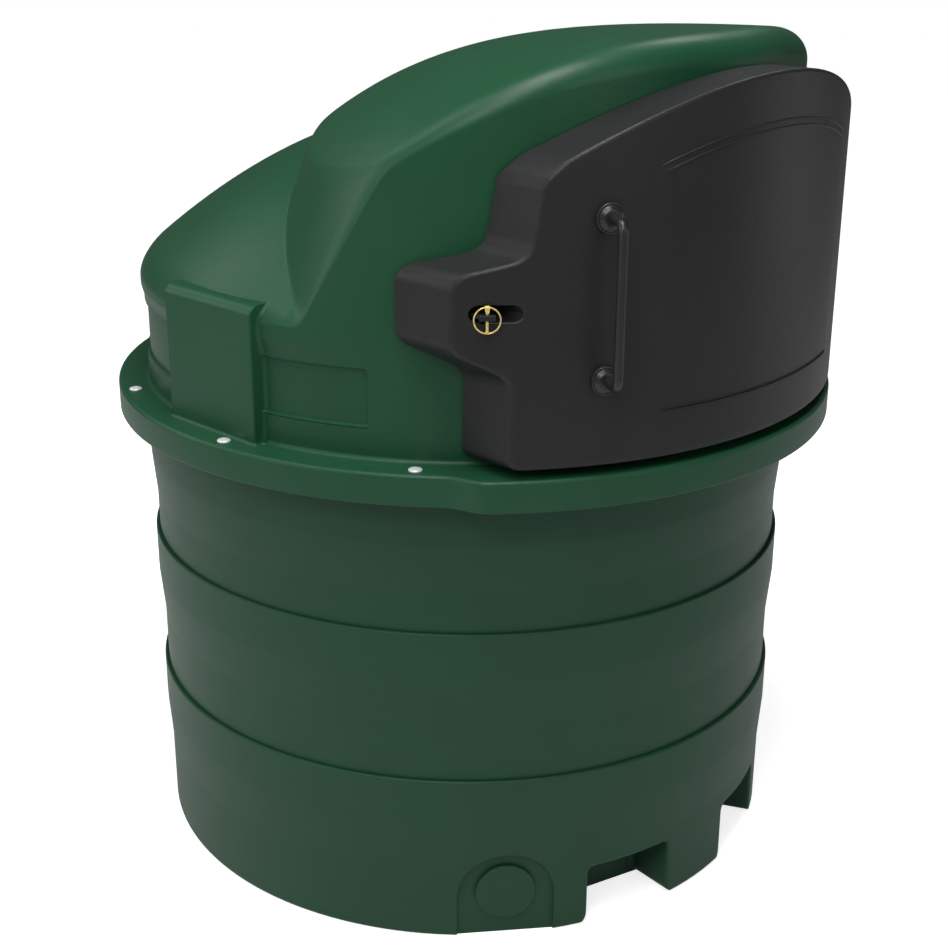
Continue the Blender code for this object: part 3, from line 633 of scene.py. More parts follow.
def hood_rows(away, angle):
    """The hood's outer face at one angle, from the crown to the skirt's lower edge."""
    a = radians(angle)
    round_r = edge_r(away)
    rows = []
    flat = hood_r - round_r
    crease = line_reach(angle, cap_form)
    valley = line_reach(angle, dome_form)
    stations = [(crease - crease_half) * k / 22.0 for k in range(22)]
    stations += [crease + crease_half * k / 3.0 for k in range(-3, 4)]
    gap = valley - valley_half - crease - crease_half
    stations += [crease + crease_half + gap * k / 6.0 for k in range(1, 6)]
    stations += [valley + valley_half * k / 3.0 for k in range(-3, 4)]
    stations += [valley + valley_half + (flat - valley - valley_half) * k / 18.0 for k in range(1, 19)]
    reached = 0.0
    for r in stations:
        reached = min(flat, max(reached, r))
        rows.append((reached, hood_form(reached * sin(a), -reached * cos(a))))
    for k in range(1, 12):
        turn = radians(90.0 * k / 11.0)
        r = flat + round_r * sin(turn)
        z = hood_form(r * sin(a), -r * cos(a)) - round_r * (1.0 - cos(turn))
        rows.append((r + wall_out(away, z) * sin(turn) ** 2, z))
    rim_z = rows[-1][1]
    low, high = band_z
    under, over = eave_blend
    eave = [eave_z + over, eave_z + 0.001, eave_z + under]
    levels = [rim_z + (eave[0] - rim_z) * k / 8.0 for k in range(1, 8)] + eave
    steps = (1.1, 0.5, 0.0, -0.5, -1.1, -2.6, -4.2)
    levels += [high + 0.004] + [high + 0.001 * step for step in steps] + [high - 0.02]
    levels += [low + 0.02] + [low - 0.001 * step for step in reversed(steps)]
    levels += [groove_z + 0.0012, groove_z, groove_z - 0.0012, 1.06]
    rows += [(hood_r + wall_out(away, z), z) for z in levels]
    edge = flange_edge(away)
    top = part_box("hood_flange")[1].z
    rows += arc(hood_r + kerb_r, top + kerb_r, kerb_r, 180.0, 270.0, 5)
    rows += [(hood_r + 0.5 * (edge - hood_r), top)]
    rows += arc(edge - skirt_nose_r, top - skirt_nose_r, skirt_nose_r, 90.0, 0.0, 5)
    rows += [(edge, skirt_z + 0.030), (edge, skirt_z + skirt_lip)]
    rows += [(edge - 0.4 * skirt_lip, skirt_z + 0.0008), (edge - skirt_lip, skirt_z)]
    return rows


def hood_face(name):
    """The hood's outer face as a mesh."""
    special = [band_from + 0.08 * k for k in (-1.2, -0.5, 0.0, 0.5, 1.2, 2.8, 4.6, 6.6)]
    special += [reach_full_to, 45.0, 47.0, reach_gone_by]
    corner = [50.0 + 1.25 * k for k in range(22)]
    behind = [-180.0 + 2.0 * k for k in range(51)] + [80.0 + 2.0 * k for k in range(50)]
    before = [-48.0 + 2.0 * k for k in range(49)]
    angles = sorted(set(behind + before + corner + special + [-a for a in corner + special]))
    bm = bmesh.new()
    columns = []
    for angle in angles:
        a = radians(angle)
        rows = hood_rows(abs(angle), angle)
        columns.append([bm.verts.new((r * sin(a), -r * cos(a), z)) for r, z in rows])
    for one, two in zip(columns, columns[1:] + columns[:1]):
        for i in range(len(one) - 1):
            bm.faces.new((one[i], one[i + 1], two[i + 1], two[i]))
    bmesh.ops.remove_doubles(bm, verts=bm.verts, dist=1e-5)
    bmesh.ops.dissolve_degenerate(bm, edges=bm.edges, dist=1e-6)
    bmesh.ops.recalc_face_normals(bm, faces=bm.faces)
    if max(bm.faces, key=lambda f: f.calc_center_median().z).normal.z < 0.0:
        bmesh.ops.reverse_faces(bm, faces=bm.faces)
    mesh = bpy.data.meshes.new(name)
    bm.to_mesh(mesh)
    bm.free()
    piece = bpy.data.objects.new(name, mesh)
    collection.objects.link(piece)
    return piece


def extruded(name, outline, start, end):
    """Closed block from an outline (x, z), run along Y."""
    bm = bmesh.new()
    near = [bm.verts.new((x, start, z)) for x, z in outline]
    far = [bm.verts.new((x, end, z)) for x, z in outline]
    bm.faces.new(near)
    bm.faces.new(list(reversed(far)))
    for i in range(len(near)):
        j = (i + 1) % len(near)
        bm.faces.new((near[i], far[i], far[j], near[j]))
    return new_piece(name, bm)


def arched(half_w, foot, top, radius, corner=0.0):
    """Outline with a flat foot, upright sides and an arched head."""
    across = [half_w * (1.0 - k / 16.0) for k in range(33)]
    head = [(x, top - radius + sqrt(radius * radius - x * x), 0.0) for x in across]
    return eased([(-half_w, foot, corner), (half_w, foot, corner)] + head, 6, closed=True)


doorway_half = 0.4615
doorway_top = 1.640
doorway_arch_r = 0.830
doorway_corner_r = 0.012
sill_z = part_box("doorway_sill")[1].z
hood = hood_face("hood_moulding")
hood.data.materials.append(hood_green)
walls = hood.modifiers.new("Wall", "SOLIDIFY")
walls.thickness = hood_t
walls.offset = -1.0
walls.use_even_offset = True
settle(hood)
doorway = arched(doorway_half, sill_z, doorway_top, doorway_arch_r, doorway_corner_r)
cut(hood, extruded("doorway_cut", doorway, -0.95, -0.30))
smooth(hood, 40.0)
install(hood, "tank", "hood_green", "hood_flange", "hood_dome", "cabinet_roof", "left_doorway_wall",
        "right_doorway_wall", "doorway_sill", "doorway_lintel", "hood_wall_1", "hood_wall_2",
        "hood_wall_3", "hood_wall_4", "hood_wall_5", "hood_wall_6")


# Side pads
# A flat-faced pad is part of the moulding on each side of the hood, about a quarter of a metre wide.
# It has a rounded top edge, and its top leans back to the dome.

pad_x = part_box("right_pad")[1].x
pad_half_w = 0.131
pad_top = 1.307
pad_top_r = 0.021
pad_corner_r = 0.0035
pad_fillet_r = 0.007
pad_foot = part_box("hood_flange")[1].z
pad_foot_r = 0.006
pad_under = 0.004
pad_sunk = 0.003
pad_tuck = 0.0012
pad_lean = 0.03


def pad_rows():
    """Rows of a pad from its foot up: height, reach of its face, and how far its sides draw in."""
    rows = [(pad_foot - pad_under, pad_x + pad_foot_r, -pad_foot_r)]
    for turn in (8.0, 30.0, 50.0, 70.0, 90.0):
        out = pad_foot_r * (1.0 - sin(radians(turn)))
        rows.append((pad_foot + pad_foot_r * (1.0 - cos(radians(turn))), pad_x + out, -out))
    low, high = band_z
    under, over = eave_blend
    levels = [1.03, 1.07, groove_z, low - band_edge, low + band_edge, 1.13, 1.18, high - band_edge,
              high + band_edge, eave_z + under, eave_z, eave_z + over, 1.265]
    rows += [(z, pad_x, 0.0) for z in levels]
    for turn in range(0, 81, 10):
        inward = pad_top_r * (1.0 - cos(radians(turn)))
        rows.append((pad_top - pad_top_r + pad_top_r * sin(radians(turn)), pad_x - inward, 0.0))
    z, reach, _ = rows[-1]
    leaning = (0.690, 0.682, 0.674, 0.666, 0.656, 0.646, 0.634)
    return rows + [(z + pad_lean * (reach - x), x, 0.0) for x in leaning]


hood_net = BVHTree.FromObject(hood, bpy.context.evaluated_depsgraph_get())


def hood_at(y, z):
    """Distance of the hood's outer face from the middle plane, on its side."""
    height = max(pad_foot + 0.0005, z)
    return hood_net.ray_cast(Vector((1.0, y, height)), Vector((-1.0, 0.0, 0.0)))[0].x


def pad_half(z, reach, inward, end):
    """Plan (x, y) of half a pad at one height, from its middle to where it runs out on the hood."""
    side_y = pad_half_w - inward
    corner = pad_corner_r - min(inward, 0.0)
    path = [(reach, (side_y - corner) * share) for share in (0.0, 0.35, 0.7, 1.0)]
    path += [(x, y) for y, x in arc(side_y - corner, reach - corner, corner, 90.0, 0.0, 4)[1:]]
    r = min(pad_fillet_r, max(0.0, reach - corner - hood_at(end * side_y, z)))
    for turn in (0.0, 20.0, 40.0, 60.0, 80.0):
        y = side_y + r * (1.0 - cos(radians(turn)))
        path.append((min(reach - corner, hood_at(end * y, z) + r * (1.0 - sin(radians(turn)))), y))
    last_y = side_y + pad_fillet_r
    path.append((hood_at(end * last_y, z) - pad_tuck, last_y))
    return [(x, end * y) for x, y in path]


for name, side in (("left_pad", -1.0), ("right_pad", 1.0)):
    bm = bmesh.new()
    loops = []
    for z, reach, inward in pad_rows():
        path = pad_half(z, reach, inward, -1.0)[::-1] + pad_half(z, reach, inward, 1.0)[1:]
        front = [(max(x, hood_at(y, z) - 0.5 * pad_sunk), y) for x, y in path]
        whole = front + [(hood_at(y, z) - pad_sunk, y) for x, y in reversed(front)]
        loops.append([bm.verts.new((side * x, y, z)) for x, y in whole])
    joined(bm, loops)
    for loop in (loops[0], loops[-1]):
        half = len(loop) // 2
        for i in range(half - 1):
            bm.faces.new((loop[i], loop[i + 1], loop[-2 - i], loop[-1 - i]))
    pad = new_piece(name + "_moulding", bm, hood_green)
    install(smooth(pad, 40.0), "tank", "hood_green", name)


# Flange bolts
# Nine zinc-plated button-head bolts with washers clamp the two flanges together round the back.
# Each head is domed and has a hexagon socket.

def zinc(name, colour, dull, tone, metal=1.0):
    """Plated steel: bright zinc with a faint drift of tone and very fine brushing."""
    material, nodes, shader, place = finish_named(name)
    drift = nodes.noise(place, 90.0, 3.0)
    fine = nodes.noise(place, 1400.0, 2.0)
    nodes.feed(shader.inputs["Base Color"], nodes.mixed(drift, colour, tone))
    nodes.feed(shader.inputs["Roughness"], dull + (drift - 0.5) * 0.15 + (fine - 0.5) * 0.08)
    nodes.feed(shader.inputs["Normal"], nodes.relief(fine, 0.0002, 0.25))
    shader.inputs["Metallic"].default_value = metal
    return material


bright_zinc = zinc("bright_zinc", srgb(242, 244, 246), 0.34, srgb(224, 227, 231), 0.35)

bolt_count = 9
bolt_step = 31.7
bolt_twist = 0.9
bolt_ring_r = 0.7375
bolt_sides = 36
head_r = 0.0132
head_edge = 0.0012
head_rise = 0.0036
socket_r = 0.0042
socket_depth = 0.004
sizes = {"Count": "Int", "Step": "Float", "Ring Radius": "Float", "Height": "Float",
         "Finish": "Material"}
nodes, given = shape_tree("bolts_round_a_flange", sizes)
spots = nodes.add("GeometryNodeMeshLine", None, {"Count": given["Count"]})
order = nodes.add("GeometryNodeInputIndex") - (given["Count"] - 1.0) * 0.5
turn = (180.0 + order * given["Step"]).math("RADIANS")
spot = nodes.add("ShaderNodeCombineXYZ", None, {"X": given["Ring Radius"] * turn.math("SINE"),
                                                "Y": 0.0 - given["Ring Radius"] * turn.math("COSINE"),
                                                "Z": given["Height"]})
spots = nodes.add("GeometryNodeSetPosition", None, {"Geometry": spots, "Position": spot})
twist = nodes.add("ShaderNodeCombineXYZ", None, {"Z": turn + order * bolt_twist})
bolts = nodes.add("GeometryNodeInstanceOnPoints", None, {"Points": spots, "Instance": given["Geometry"],
                                                         "Rotation": twist})
bolt_ring = close_tree(nodes, bolts, given["Finish"])

bm = bmesh.new()
head = [(0.0, 0.0), (head_r, 0.0), (head_r, head_edge)]
head += [(head_r * cos(radians(a)), head_edge + head_rise * sin(radians(a))) for a in (12, 28, 44, 58, 68)]
turned(bm, head, lambda u, v, w: Vector((u, v, w)), bolt_sides)
rim_edges = [edge for edge in bm.edges if edge.is_boundary]
rim = sorted({v for edge in rim_edges for v in edge.verts}, key=lambda v: atan2(v.co.y, v.co.x))
socket_top = rim[0].co.z
hexagon = []
for k in range(bolt_sides):
    a = 2 * pi * k / bolt_sides
    reach = socket_r / cos((a + pi / 6) % (pi / 3) - pi / 6)
    hexagon.append((reach * cos(a), reach * sin(a)))
lip = [bm.verts.new((u, v, socket_top)) for u, v in hexagon]
socket_floor = [bm.verts.new((u * 0.96, v * 0.96, socket_top - socket_depth)) for u, v in hexagon]
first = lip[0].co.xy.normalized()
start = min(range(bolt_sides), key=lambda k: (rim[k].co.xy.normalized() - first).length)
joined(bm, [rim[start:] + rim[:start], lip, socket_floor])
bm.faces.new(socket_floor)
bolt_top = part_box("hood_flange")[1].z
flange_bolts = shaped(new_piece("flange_bolts", bm), bolt_ring, count=bolt_count, step=bolt_step,
                      ring_radius=bolt_ring_r, height=bolt_top, finish=bright_zinc)
install(smooth(flange_bolts, 35.0), "tank", None)


# Door
# The cabinet door is a double-walled moulding in black, bent to the tank's curve, with an arched
# head, a raised panel on its face and a tab on its left that takes the latch.

door_black = moulded("door_black", srgb(33, 33, 34), srgb(42, 42, 43), 0.40, 0.0016)

door_low, door_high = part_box("door_shell")
front_r = -door_low.y
back_r = 0.7055
door_half_w = door_high.x
tab_x = door_low.x
door_foot = door_low.z
door_head = door_high.z
door_arch_r = 0.830
slot_x = (-0.568, -0.497)
slot_h = 0.030
slot_z = 1.3445
nose_r = 0.007
back_edge_r = 0.0025


def door_outline():
    """Outline of the door from the front: corners (x, z, radius), then its arched head."""
    corners = [(0.473, 1.560, 0.05), (door_half_w, 1.420, 0.05), (door_half_w, door_foot, 0.018),
               (-door_half_w, door_foot, 0.018), (-0.512, 1.222, 0.045), (tab_x, 1.272, 0.040),
               (tab_x, 1.408, 0.040), (-0.488, 1.440, 0.045), (-0.472, 1.570, 0.05)]
    across = [-0.440 + 0.880 * k / 36.0 for k in range(37)]
    head = [(x, door_head - door_arch_r + sqrt(door_arch_r ** 2 - x * x), 0.0) for x in across]
    return divided([Vector(p) for p in eased(corners + head, 8, closed=True)])


def slot_outline(radius):
    """Outline of the slot that the latch comes through."""
    left, right = slot_x
    bend = slot_h / 2
    return [Vector(p) for p in arc(left + bend, slot_z, radius, 90.0, 270.0, 14)
            + arc(right - bend, slot_z, radius, -90.0, 90.0, 14)]


def shifted(loop, distance):
    """The loop moved sideways by a distance, to the right of its direction."""
    moved = []
    for i, here in enumerate(loop):
        before = (here - loop[i - 1]).normalized()
        after = (loop[(i + 1) % len(loop)] - here).normalized()
        normal = Vector((before.y + after.y, -before.x - after.x)).normalized()
        stretch = 1.0 / max(0.5, normal.dot(Vector((before.y, -before.x))))
        moved.append(here + normal * distance * stretch)
    return moved


def divided(loop, step=0.028):
    """The loop with long sides split, so that they can follow the door's bend."""
    finer = []
    for here, after in zip(loop, loop[1:] + loop[:1]):
        parts = max(1, round(abs(after.x - here.x) / step))
        finer += [here.lerp(after, k / parts) for k in range(parts)]
    return finer


def area(loop):
    return 0.5 * sum(a.x * b.y - b.x * a.y for a, b in zip(loop, loop[1:] + loop[:1]))


panel_half = 0.293
panel_foot = 1.146
panel_head = 1.643
panel_arch_r = 0.782
panel_rise = 0.0012
bead_rise = 0.0020
bead_half_w = 0.0016
head_gap = 0.0125
foot_gap = 0.0045
side_gap = 0.016


def bead_pair(gap):
    """Distances of the lines that two fine beads and the slope between them are drawn with."""
    half = [-bead_half_w, -0.5 * bead_half_w, 0.0, 0.5 * bead_half_w, bead_half_w]
    return half + [gap / 2] + [gap + step for step in half]


head_lines = bead_pair(head_gap)
foot_lines = bead_pair(foot_gap)
side_lines = [side_gap * k / 10.0 for k in range(11)]


def panel_loop(side_in, head_in, foot_in):
    """Outline of the raised panel, drawn in at its sides, its arched head and its foot."""
    head_r = panel_arch_r - head_in
    outline = arched(panel_half - side_in, panel_foot + foot_in, panel_head - head_in, head_r)
    return divided([Vector(p) for p in outline])


def line_at(lines, distance):
    """Where a distance lies between the lines, counted from the first."""
    if distance <= lines[0]:
        return 0.0
    for k, (here, after) in enumerate(zip(lines, lines[1:])):
        if distance <= after:
            return k + (distance - here) / (after - here)
    return len(lines) - 1.0


def inside(point, loop):
    odd = False
    for a, b in zip(loop, loop[1:] + loop[:1]):
        if (a.y > point.y) != (b.y > point.y):
            crossing = (b.x - a.x) * (point.y - a.y) / (b.y - a.y) + a.x
            odd = odd != (point.x < crossing)
    return odd


def filled(bm, loops, creases, spots, place):
    """Fills the region between an outer loop and its holes with triangles that keep every crease."""
    points = []
    edges = []
    for loop in loops + creases:
        start = len(points)
        points += loop
        edges += [(start + i, start + (i + 1) % len(loop)) for i in range(len(loop))]
    points += spots
    net = geometry.delaunay_2d_cdt(points, edges, [], 0, 1e-6)
    verts = [bm.verts.new(place(p)) for p in net[0]]
    for triangle in net[2]:
        middle = (net[0][triangle[0]] + net[0][triangle[1]] + net[0][triangle[2]]) / 3.0
        if inside(middle, loops[0]) and not any(inside(middle, hole) for hole in loops[1:]):
            bm.faces.new([verts[i] for i in triangle])


face_drop = panel_rise + bead_rise
flat_r = front_r - face_drop


def panel_height(p):
    """Rise of the face at a point: the raised panel, and the fine beads above and below it."""
    from_head = panel_arch_r - hypot(p.x, p.y - panel_head + panel_arch_r)
    ends = min(line_at(head_lines, from_head), line_at(foot_lines, p.y - panel_foot))
    sides = line_at(side_lines, panel_half - abs(p.x))
    bead = max(0.0, 1.0 - abs(ends - 2.0) / 2.0, 1.0 - abs(ends - 8.0) / 2.0)
    bead = bead_rise * sin(0.5 * pi * bead) * ramp_between(sides - ends, 0.0, 2.0)
    return panel_rise * ramp_between(min(ends, sides), 0.0, 10.0) + bead


def on_round(radius):
    """Places a point of the outline on the door's bend."""
    return lambda p: Vector((p.x, -sqrt(radius * radius - p.x * p.x), p.y))


def on_face(p):
    return on_round(flat_r + panel_height(p))(p)


outline = door_outline()
if area(outline) > 0.0:
    outline.reverse()
hole = slot_outline(slot_h / 2)
if area(hole) < 0.0:
    hole.reverse()
rings = [(shifted(outline, back_edge_r), back_r), (outline, back_r + back_edge_r)]
for turn in (0.0, 22.5, 45.0, 67.5, 90.0):
    a = radians(turn)
    rings.append((shifted(outline, nose_r * (1.0 - cos(a))), flat_r - nose_r * (1.0 - sin(a))))
hole_round = 0.003
hole_rings = []
for turn in (90.0, 60.0, 30.0, 0.0):
    a = radians(turn)
    hole_rings.append((shifted(hole, hole_round * (1.0 - cos(a))), flat_r - hole_round * (1.0 - sin(a))))
hole_rings.append((hole, back_r))
bm = bmesh.new()
for chain in (rings, hole_rings):
    joined(bm, [[bm.verts.new(on_round(radius)(p)) for p in loop] for loop, radius in chain])
creases = [panel_loop(*lines) for lines in zip(side_lines, head_lines, foot_lines)]
across = [-0.585 + 0.030 * i for i in range(37)]
levels = [1.07 + 0.060 * k for k in range(11)]
inner = shifted(outline, nose_r + 0.004)
round_slot = shifted(hole, -0.008)
spots = [Vector((x, z)) for x in across for z in levels]
spots = [p for p in spots if inside(p, inner) and not inside(p, round_slot)]
filled(bm, [rings[-1][0], hole_rings[0][0]], creases, spots, on_face)
filled(bm, [rings[0][0], hole], [], spots, on_round(back_r))
door = new_piece("cabinet_door", bm, door_black, 2e-5)
install(smooth(door, 35.0), "door", "door_black", "door_shell", "door_liner")


# Grab handle
# A bent black rod runs between two round bosses on the door's face. Both are coated steel, and
# each boss has a fine groove turned into its edge.

def coated(name, deep, pale, dull):
    """Black coated steel: smoother than the mouldings, with a soft orange-peel face."""
    material, nodes, shader, place = finish_named(name)
    peel = nodes.noise(place, 260.0, 2.0)
    drift = nodes.noise(place, 22.0, 3.0)
    nodes.feed(shader.inputs["Base Color"], nodes.mixed(drift, deep, pale))
    nodes.feed(shader.inputs["Roughness"], dull + (drift - 0.5) * 0.12 + (peel - 0.5) * 0.06)
    nodes.feed(shader.inputs["Normal"], nodes.relief(peel, 0.0003, 0.4))
    return material


handle_black = coated("handle_black", srgb(30, 30, 31), srgb(40, 40, 41), 0.34)

sizes = {"Bend Radius": "Float", "Rod Radius": "Float", "Sides": "Int", "Finish": "Material"}
nodes, given = shape_tree("bent_rod", sizes)
line = nodes.add("GeometryNodeMeshToCurve", None, {"Mesh": given["Geometry"]})
line = nodes.add("GeometryNodeFilletCurve", {"mode": "POLY"},
                 {"Curve": line, "Radius": given["Bend Radius"], "Count": 8, "Limit Radius": True})
round_bar = nodes.add("GeometryNodeCurvePrimitiveCircle", None,
                      {"Resolution": given["Sides"], "Radius": given["Rod Radius"]})
rod = nodes.add("GeometryNodeCurveToMesh", None,
                {"Curve": line, "Profile Curve": round_bar, "Fill Caps": True})
bent_rod = close_tree(nodes, rod, given["Finish"])

handle_angle = -28.15
handle_z = (1.2165, 1.5055)
boss_r = 0.0272
boss_groove_r = 0.0237
boss_groove_half = 0.0008
boss_crown_r = 0.0150
boss_t = 0.012
rod_r = 0.0088
rod_bend_r = 0.016
standoff = 0.057
on_door = facing(handle_angle)
seat = flat_r - 0.004
root = front_r + 0.004
for name, z in zip(("lower_handle_boss", "upper_handle_boss"), handle_z):
    bm = bmesh.new()
    top = front_r + boss_t
    rim = front_r + 0.0045
    shape = eased([(0.0, seat, 0.0), (boss_r, seat, 0.0), (boss_r, rim, 0.002),
                   (boss_groove_r + boss_groove_half, rim + 0.0006, 0.0005),
                   (boss_groove_r, rim - 0.0012, 0.0004),
                   (boss_groove_r - boss_groove_half, rim + 0.0008, 0.0005),
                   (boss_crown_r, top, 0.006), (0.0, top + 0.0010, 0.0)])
    turned(bm, shape, lambda u, v, w, z=z: on_door(u, z + v, w), 72)
    install(smooth(new_piece(name + "_turned", bm, handle_black), 35.0), "door", "handle_black", name)
low, high = handle_z
far = front_r + standoff
route = [tuple(on_door(0.0, z, w)) for z, w in ((low, root), (low, far), (high, far), (high, root))]
handle = grow("door_handle_rod", bent_rod, route, [(0, 1), (1, 2), (2, 3)],
              bend_radius=rod_bend_r, rod_radius=rod_r, sides=28, finish=handle_black)
install(smooth(handle, 50.0), "door", "handle_black", "door_handle")


# Latch
# A flat tongue on the cabinet comes through the slot in the door's tab. A yellow-plated linch pin
# goes down through it, with a wedge-shaped head and a spring ring.

yellow_zinc = zinc("yellow_zinc", srgb(255, 232, 150), 0.26, srgb(250, 214, 120), 0.45)
# The tongue's near-black is partly its black coating and partly painted shade: it is made darker than the
# handle and the door so that the slot it sits in reads as shaded.
tongue_black = coated("tongue_black", srgb(14, 14, 14), srgb(20, 20, 20), 0.5)
pin_angle = -43.5
pin_w = front_r + 0.007
ring_r = 0.0232
wire_r = 0.0014
ring_z = 1.3368
on_tab = facing(pin_angle)
count = 72
turns = [2 * pi * k / count for k in range(count)]
loop = [tuple(on_tab(ring_r * sin(a), ring_z + ring_r * cos(a), pin_w)) for a in turns]
latch_ring = grow("linch_pin_ring", bent_rod, loop, [(k, (k + 1) % count) for k in range(count)],
                  bend_radius=0.0, rod_radius=wire_r, sides=14, finish=yellow_zinc)
install(smooth(latch_ring, 60.0), "door", "plated_steel", "latch_ring")

shaft_r = 0.0027
shaft_foot = ring_z - ring_r + 0.001
head_foot = ring_z + 0.0112
head_neck = ring_z + 0.0170
head_top = ring_z + ring_r + 0.0022
foot_half = 0.0024
neck_half = 0.0030
head_half = 0.0046
head_half_t = 0.0045
head_widens = 0.0024
bm = bmesh.new()
shaft_top = head_foot + 0.001
shaft = eased([(0.0, shaft_foot, 0.0), (shaft_r, shaft_foot, 0.0008), (shaft_r, shaft_top, 0.0),
               (0.0, shaft_top, 0.0)], 3)
centre = on_tab(0.0, 0.0, pin_w)
turned(bm, shaft, lambda u, v, w: Vector((centre.x + u, centre.y + v, w)), 28)
wedge = [(-foot_half, head_foot), (foot_half, head_foot), (neck_half, head_neck),
         (head_half, head_neck + head_widens), (head_half, head_top), (-head_half, head_top),
         (-head_half, head_neck + head_widens), (-neck_half, head_neck)]
near = [bm.verts.new(on_tab(u, v, pin_w + head_half_t)) for u, v in wedge]
far_side = [bm.verts.new(on_tab(u, v, pin_w - head_half_t)) for u, v in wedge]
faces = [bm.faces.new(near), bm.faces.new(list(reversed(far_side)))]
for i in range(len(wedge)):
    j = (i + 1) % len(wedge)
    faces.append(bm.faces.new((near[i], far_side[i], far_side[j], near[j])))
edges = list(dict.fromkeys(edge for face in faces for edge in face.edges))
bmesh.ops.bevel(bm, geom=edges, offset=0.0009, segments=3, affect="EDGES")
pin = new_piece("linch_pin", bm, yellow_zinc)
install(smooth(pin, 35.0), "door", "plated_steel", "latch_pin")


def eased_block(name, place, half_w, half_h, half_d, edge, finish):
    """Block with rounded edges, centred where place puts the origin."""
    bm = bmesh.new()
    bmesh.ops.create_cube(bm, size=2.0)
    for v in bm.verts:
        v.co = Vector((v.co.x * half_w, v.co.y * half_h, v.co.z * half_d))
    bmesh.ops.bevel(bm, geom=bm.edges, offset=edge, segments=3, affect="EDGES")
    for v in bm.verts:
        v.co = place(*v.co)
    return new_piece(name, bm, finish)


tongue_z = 1.3415
tongue_w = pin_w - 0.0005
plug_front_y = -0.520
plug_y = 0.5 * (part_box("latch_tongue")[1].y + plug_front_y)
plug_clear = 0.001
neck_end = centre.y + 0.002
neck_y = 0.5 * (neck_end + plug_y)
neck_half_l = 0.5 * (plug_y - neck_end) + 0.002
slot_u = 0.5 * (slot_x[0] + slot_x[1])
slot_half_w = 0.5 * (slot_x[1] - slot_x[0])
tongue = eased_block("tongue_bar", lambda u, v, w: on_tab(u, tongue_z + v, tongue_w + w),
                     0.0148, 0.0053, 0.0062, 0.0010, tongue_black)
neck = eased_block("tongue_neck", lambda u, v, w: Vector((centre.x + u, neck_y + w, tongue_z + v)),
                   0.0070, 0.0042, neck_half_l, 0.0008, tongue_black)
cut(tongue, neck, "UNION")
# The plug fills the slot with the same near-black, which is partly painted shade of the slot's inside.
plug = eased_block("tongue_plug", lambda u, v, w: Vector((slot_u + u, plug_y + w, slot_z + v)),
                   slot_half_w - plug_clear, 0.5 * slot_h - plug_clear, 0.006, 0.0008, tongue_black)
cut(tongue, plug, "UNION")
install(smooth(tongue, 35.0), "door", None, "latch_tongue")


# Hinges
# Two steel hinges carry the door on its right. Each has a leaf bolted to the hood's wall with two
# arms round a pin, and a strap fixed to the door's side. They are coated dark grey.

hinge_grey = coated("hinge_grey", srgb(58, 60, 62), srgb(74, 76, 78), 0.42)
for name in ("lower_hinge_bracket", "upper_hinge_bracket", "lower_hinge_strap", "upper_hinge_strap"):
    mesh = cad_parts[name].data
    mesh.materials.clear()
    mesh.materials.append(hinge_grey)


# Floor, light and camera
# The tank stands on a plain pale floor in soft light from above and both sides, seen from its front
# left and a little above, as a standing person sees it.

def floor_finish():
    """Pale floor that fades into the white behind it, and still takes a soft shadow."""
    material, nodes, shader, place = finish_named("pale_floor")
    pale = nodes.mixed(nodes.noise(place, 2.0), srgb(225, 225, 225), srgb(229, 229, 229))
    nodes.feed(shader.inputs["Base Color"], pale)
    shader.inputs["Roughness"].default_value = 0.9
    away = nodes.add("ShaderNodeVectorMath", {"operation": "LENGTH"}, {0: place}, 1)
    fade = (away - 0.8).clamped()
    colour = nodes.mixed(fade, (0.78, 0.78, 0.78, 1.0), (1.0, 1.0, 1.0, 1.0))
    glow = nodes.add("ShaderNodeEmission", None, {"Color": colour, "Strength": 1.0})
    bare = Value(nodes, shader.outputs[0])
    lit = nodes.add("ShaderNodeAddShader", None, {0: bare, 1: glow})
    seen = nodes.add("ShaderNodeLightPath", None, None, "Is Camera Ray")
    mirrored = nodes.add("ShaderNodeLightPath", None, None, "Is Glossy Ray")
    surface = nodes.add("ShaderNodeMixShader", None, {0: seen + mirrored * 0.15, 1: bare, 2: lit})
    nodes.feed(material.node_tree.nodes["Material Output"].inputs["Surface"], surface)
    return material


bm = bmesh.new()
bmesh.ops.create_circle(bm, cap_ends=True, segments=64, radius=14.0)
floor = new_piece("floor", bm, floor_finish())

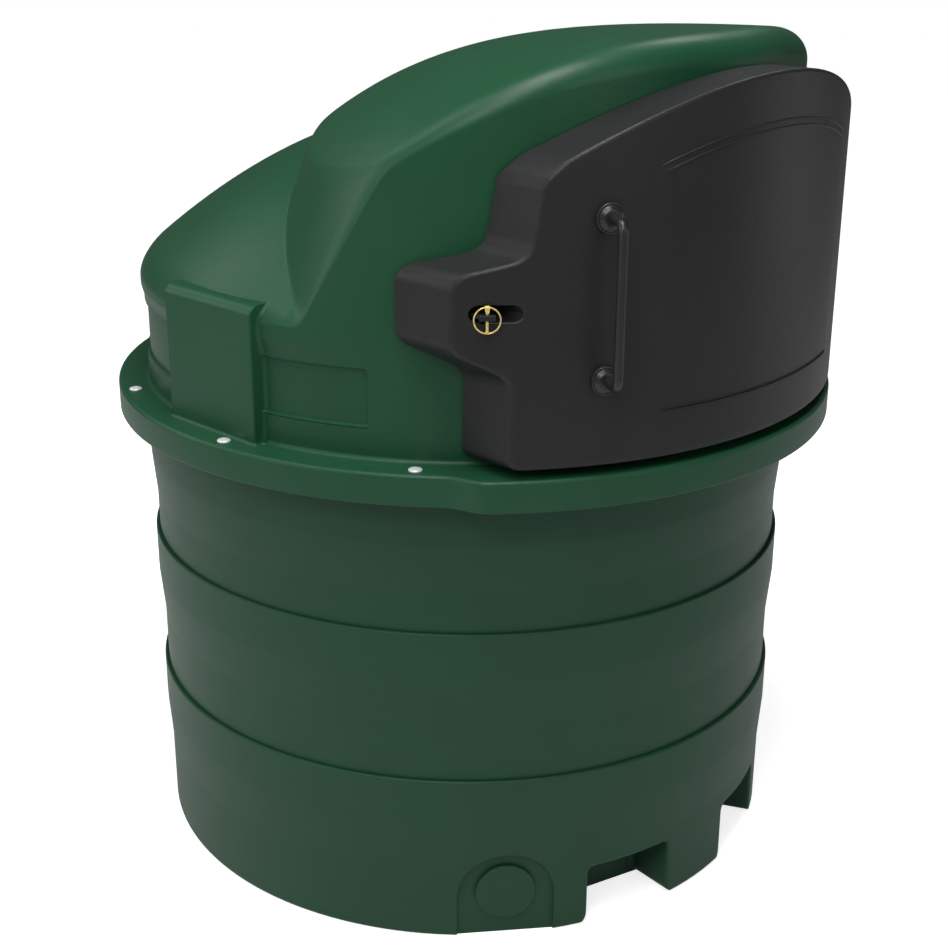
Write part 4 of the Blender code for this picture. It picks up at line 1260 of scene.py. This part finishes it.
world = bpy.data.worlds.new("studio")
world.use_nodes = True
bpy.context.scene.world = world
sky = Nodes(world.node_tree)
seen = sky.add("ShaderNodeLightPath", None, None, "Is Camera Ray")
sky.feed(world.node_tree.nodes["Background"].inputs["Strength"], 0.07 + seen * 0.93)
world.node_tree.nodes["Background"].inputs["Color"].default_value = (1.0, 1.0, 1.0, 1.0)


def softbox(name, place, target, size, power):
    """A square soft lamp that faces its target and isn't seen itself."""
    light = bpy.data.lights.new(name, "AREA")
    light.shape = "SQUARE"
    light.size = size
    light.energy = power
    lamp = bpy.data.objects.new(name, light)
    lamp.location = place
    lamp.visible_camera = False
    lamp.rotation_euler = (Vector(target) - Vector(place)).to_track_quat("-Z", "Y").to_euler()
    collection.objects.link(lamp)


softbox("key_high", (-0.9, -0.9, 5.0), (0.0, 0.0, 1.2), 1.3, 72.0)
softbox("key_low", (-1.7, -1.7, 4.6), (0.0, 0.0, 1.2), 1.0, 33.0)
softbox("behind_high", (-1.2, 3.6, 4.2), (0.0, 0.0, 1.2), 1.6, 17.0)
softbox("behind_left", (-3.2, 3.6, 2.6), (0.0, 0.0, 1.0), 2.0, 31.0)
softbox("left_high", (-2.2, 1.2, 4.8), (0.0, 0.0, 1.2), 1.3, 26.0)
softbox("left", (-4.6, 0.6, 2.4), (0.0, 0.0, 1.0), 2.0, 28.0)
softbox("front_left", (-3.6, -2.0, 4.2), (0.0, 0.0, 1.3), 1.3, 50.0)
softbox("front", (-0.6, -4.6, 2.6), (0.0, 0.0, 1.0), 2.0, 22.0)
softbox("right_high", (2.8, 0.2, 4.9), (0.0, 0.0, 1.2), 1.2, 28.0)
softbox("right_low", (3.6, -3.0, 1.2), (0.0, 0.0, 1.0), 1.6, 9.0)

camera_angle = -46.0
camera_tilt = 69.57
camera_roll = 0.0037
camera_data = bpy.data.cameras.new("view")
camera_data.sensor_width = 36.0
camera_data.lens = 60.54
camera_data.shift_x = 0.0082
camera = bpy.data.objects.new("view", camera_data)
camera.location = (-2.481, -2.396, 2.0423)
turn = Matrix.Rotation(radians(camera_angle), 3, "Z") @ Matrix.Rotation(radians(camera_tilt), 3, "X")
camera.rotation_euler = (turn @ Matrix.Rotation(camera_roll, 3, "Z")).to_euler()
collection.objects.link(camera)
bpy.context.scene.camera = camera
bpy.context.scene.view_settings.view_transform = "Standard"
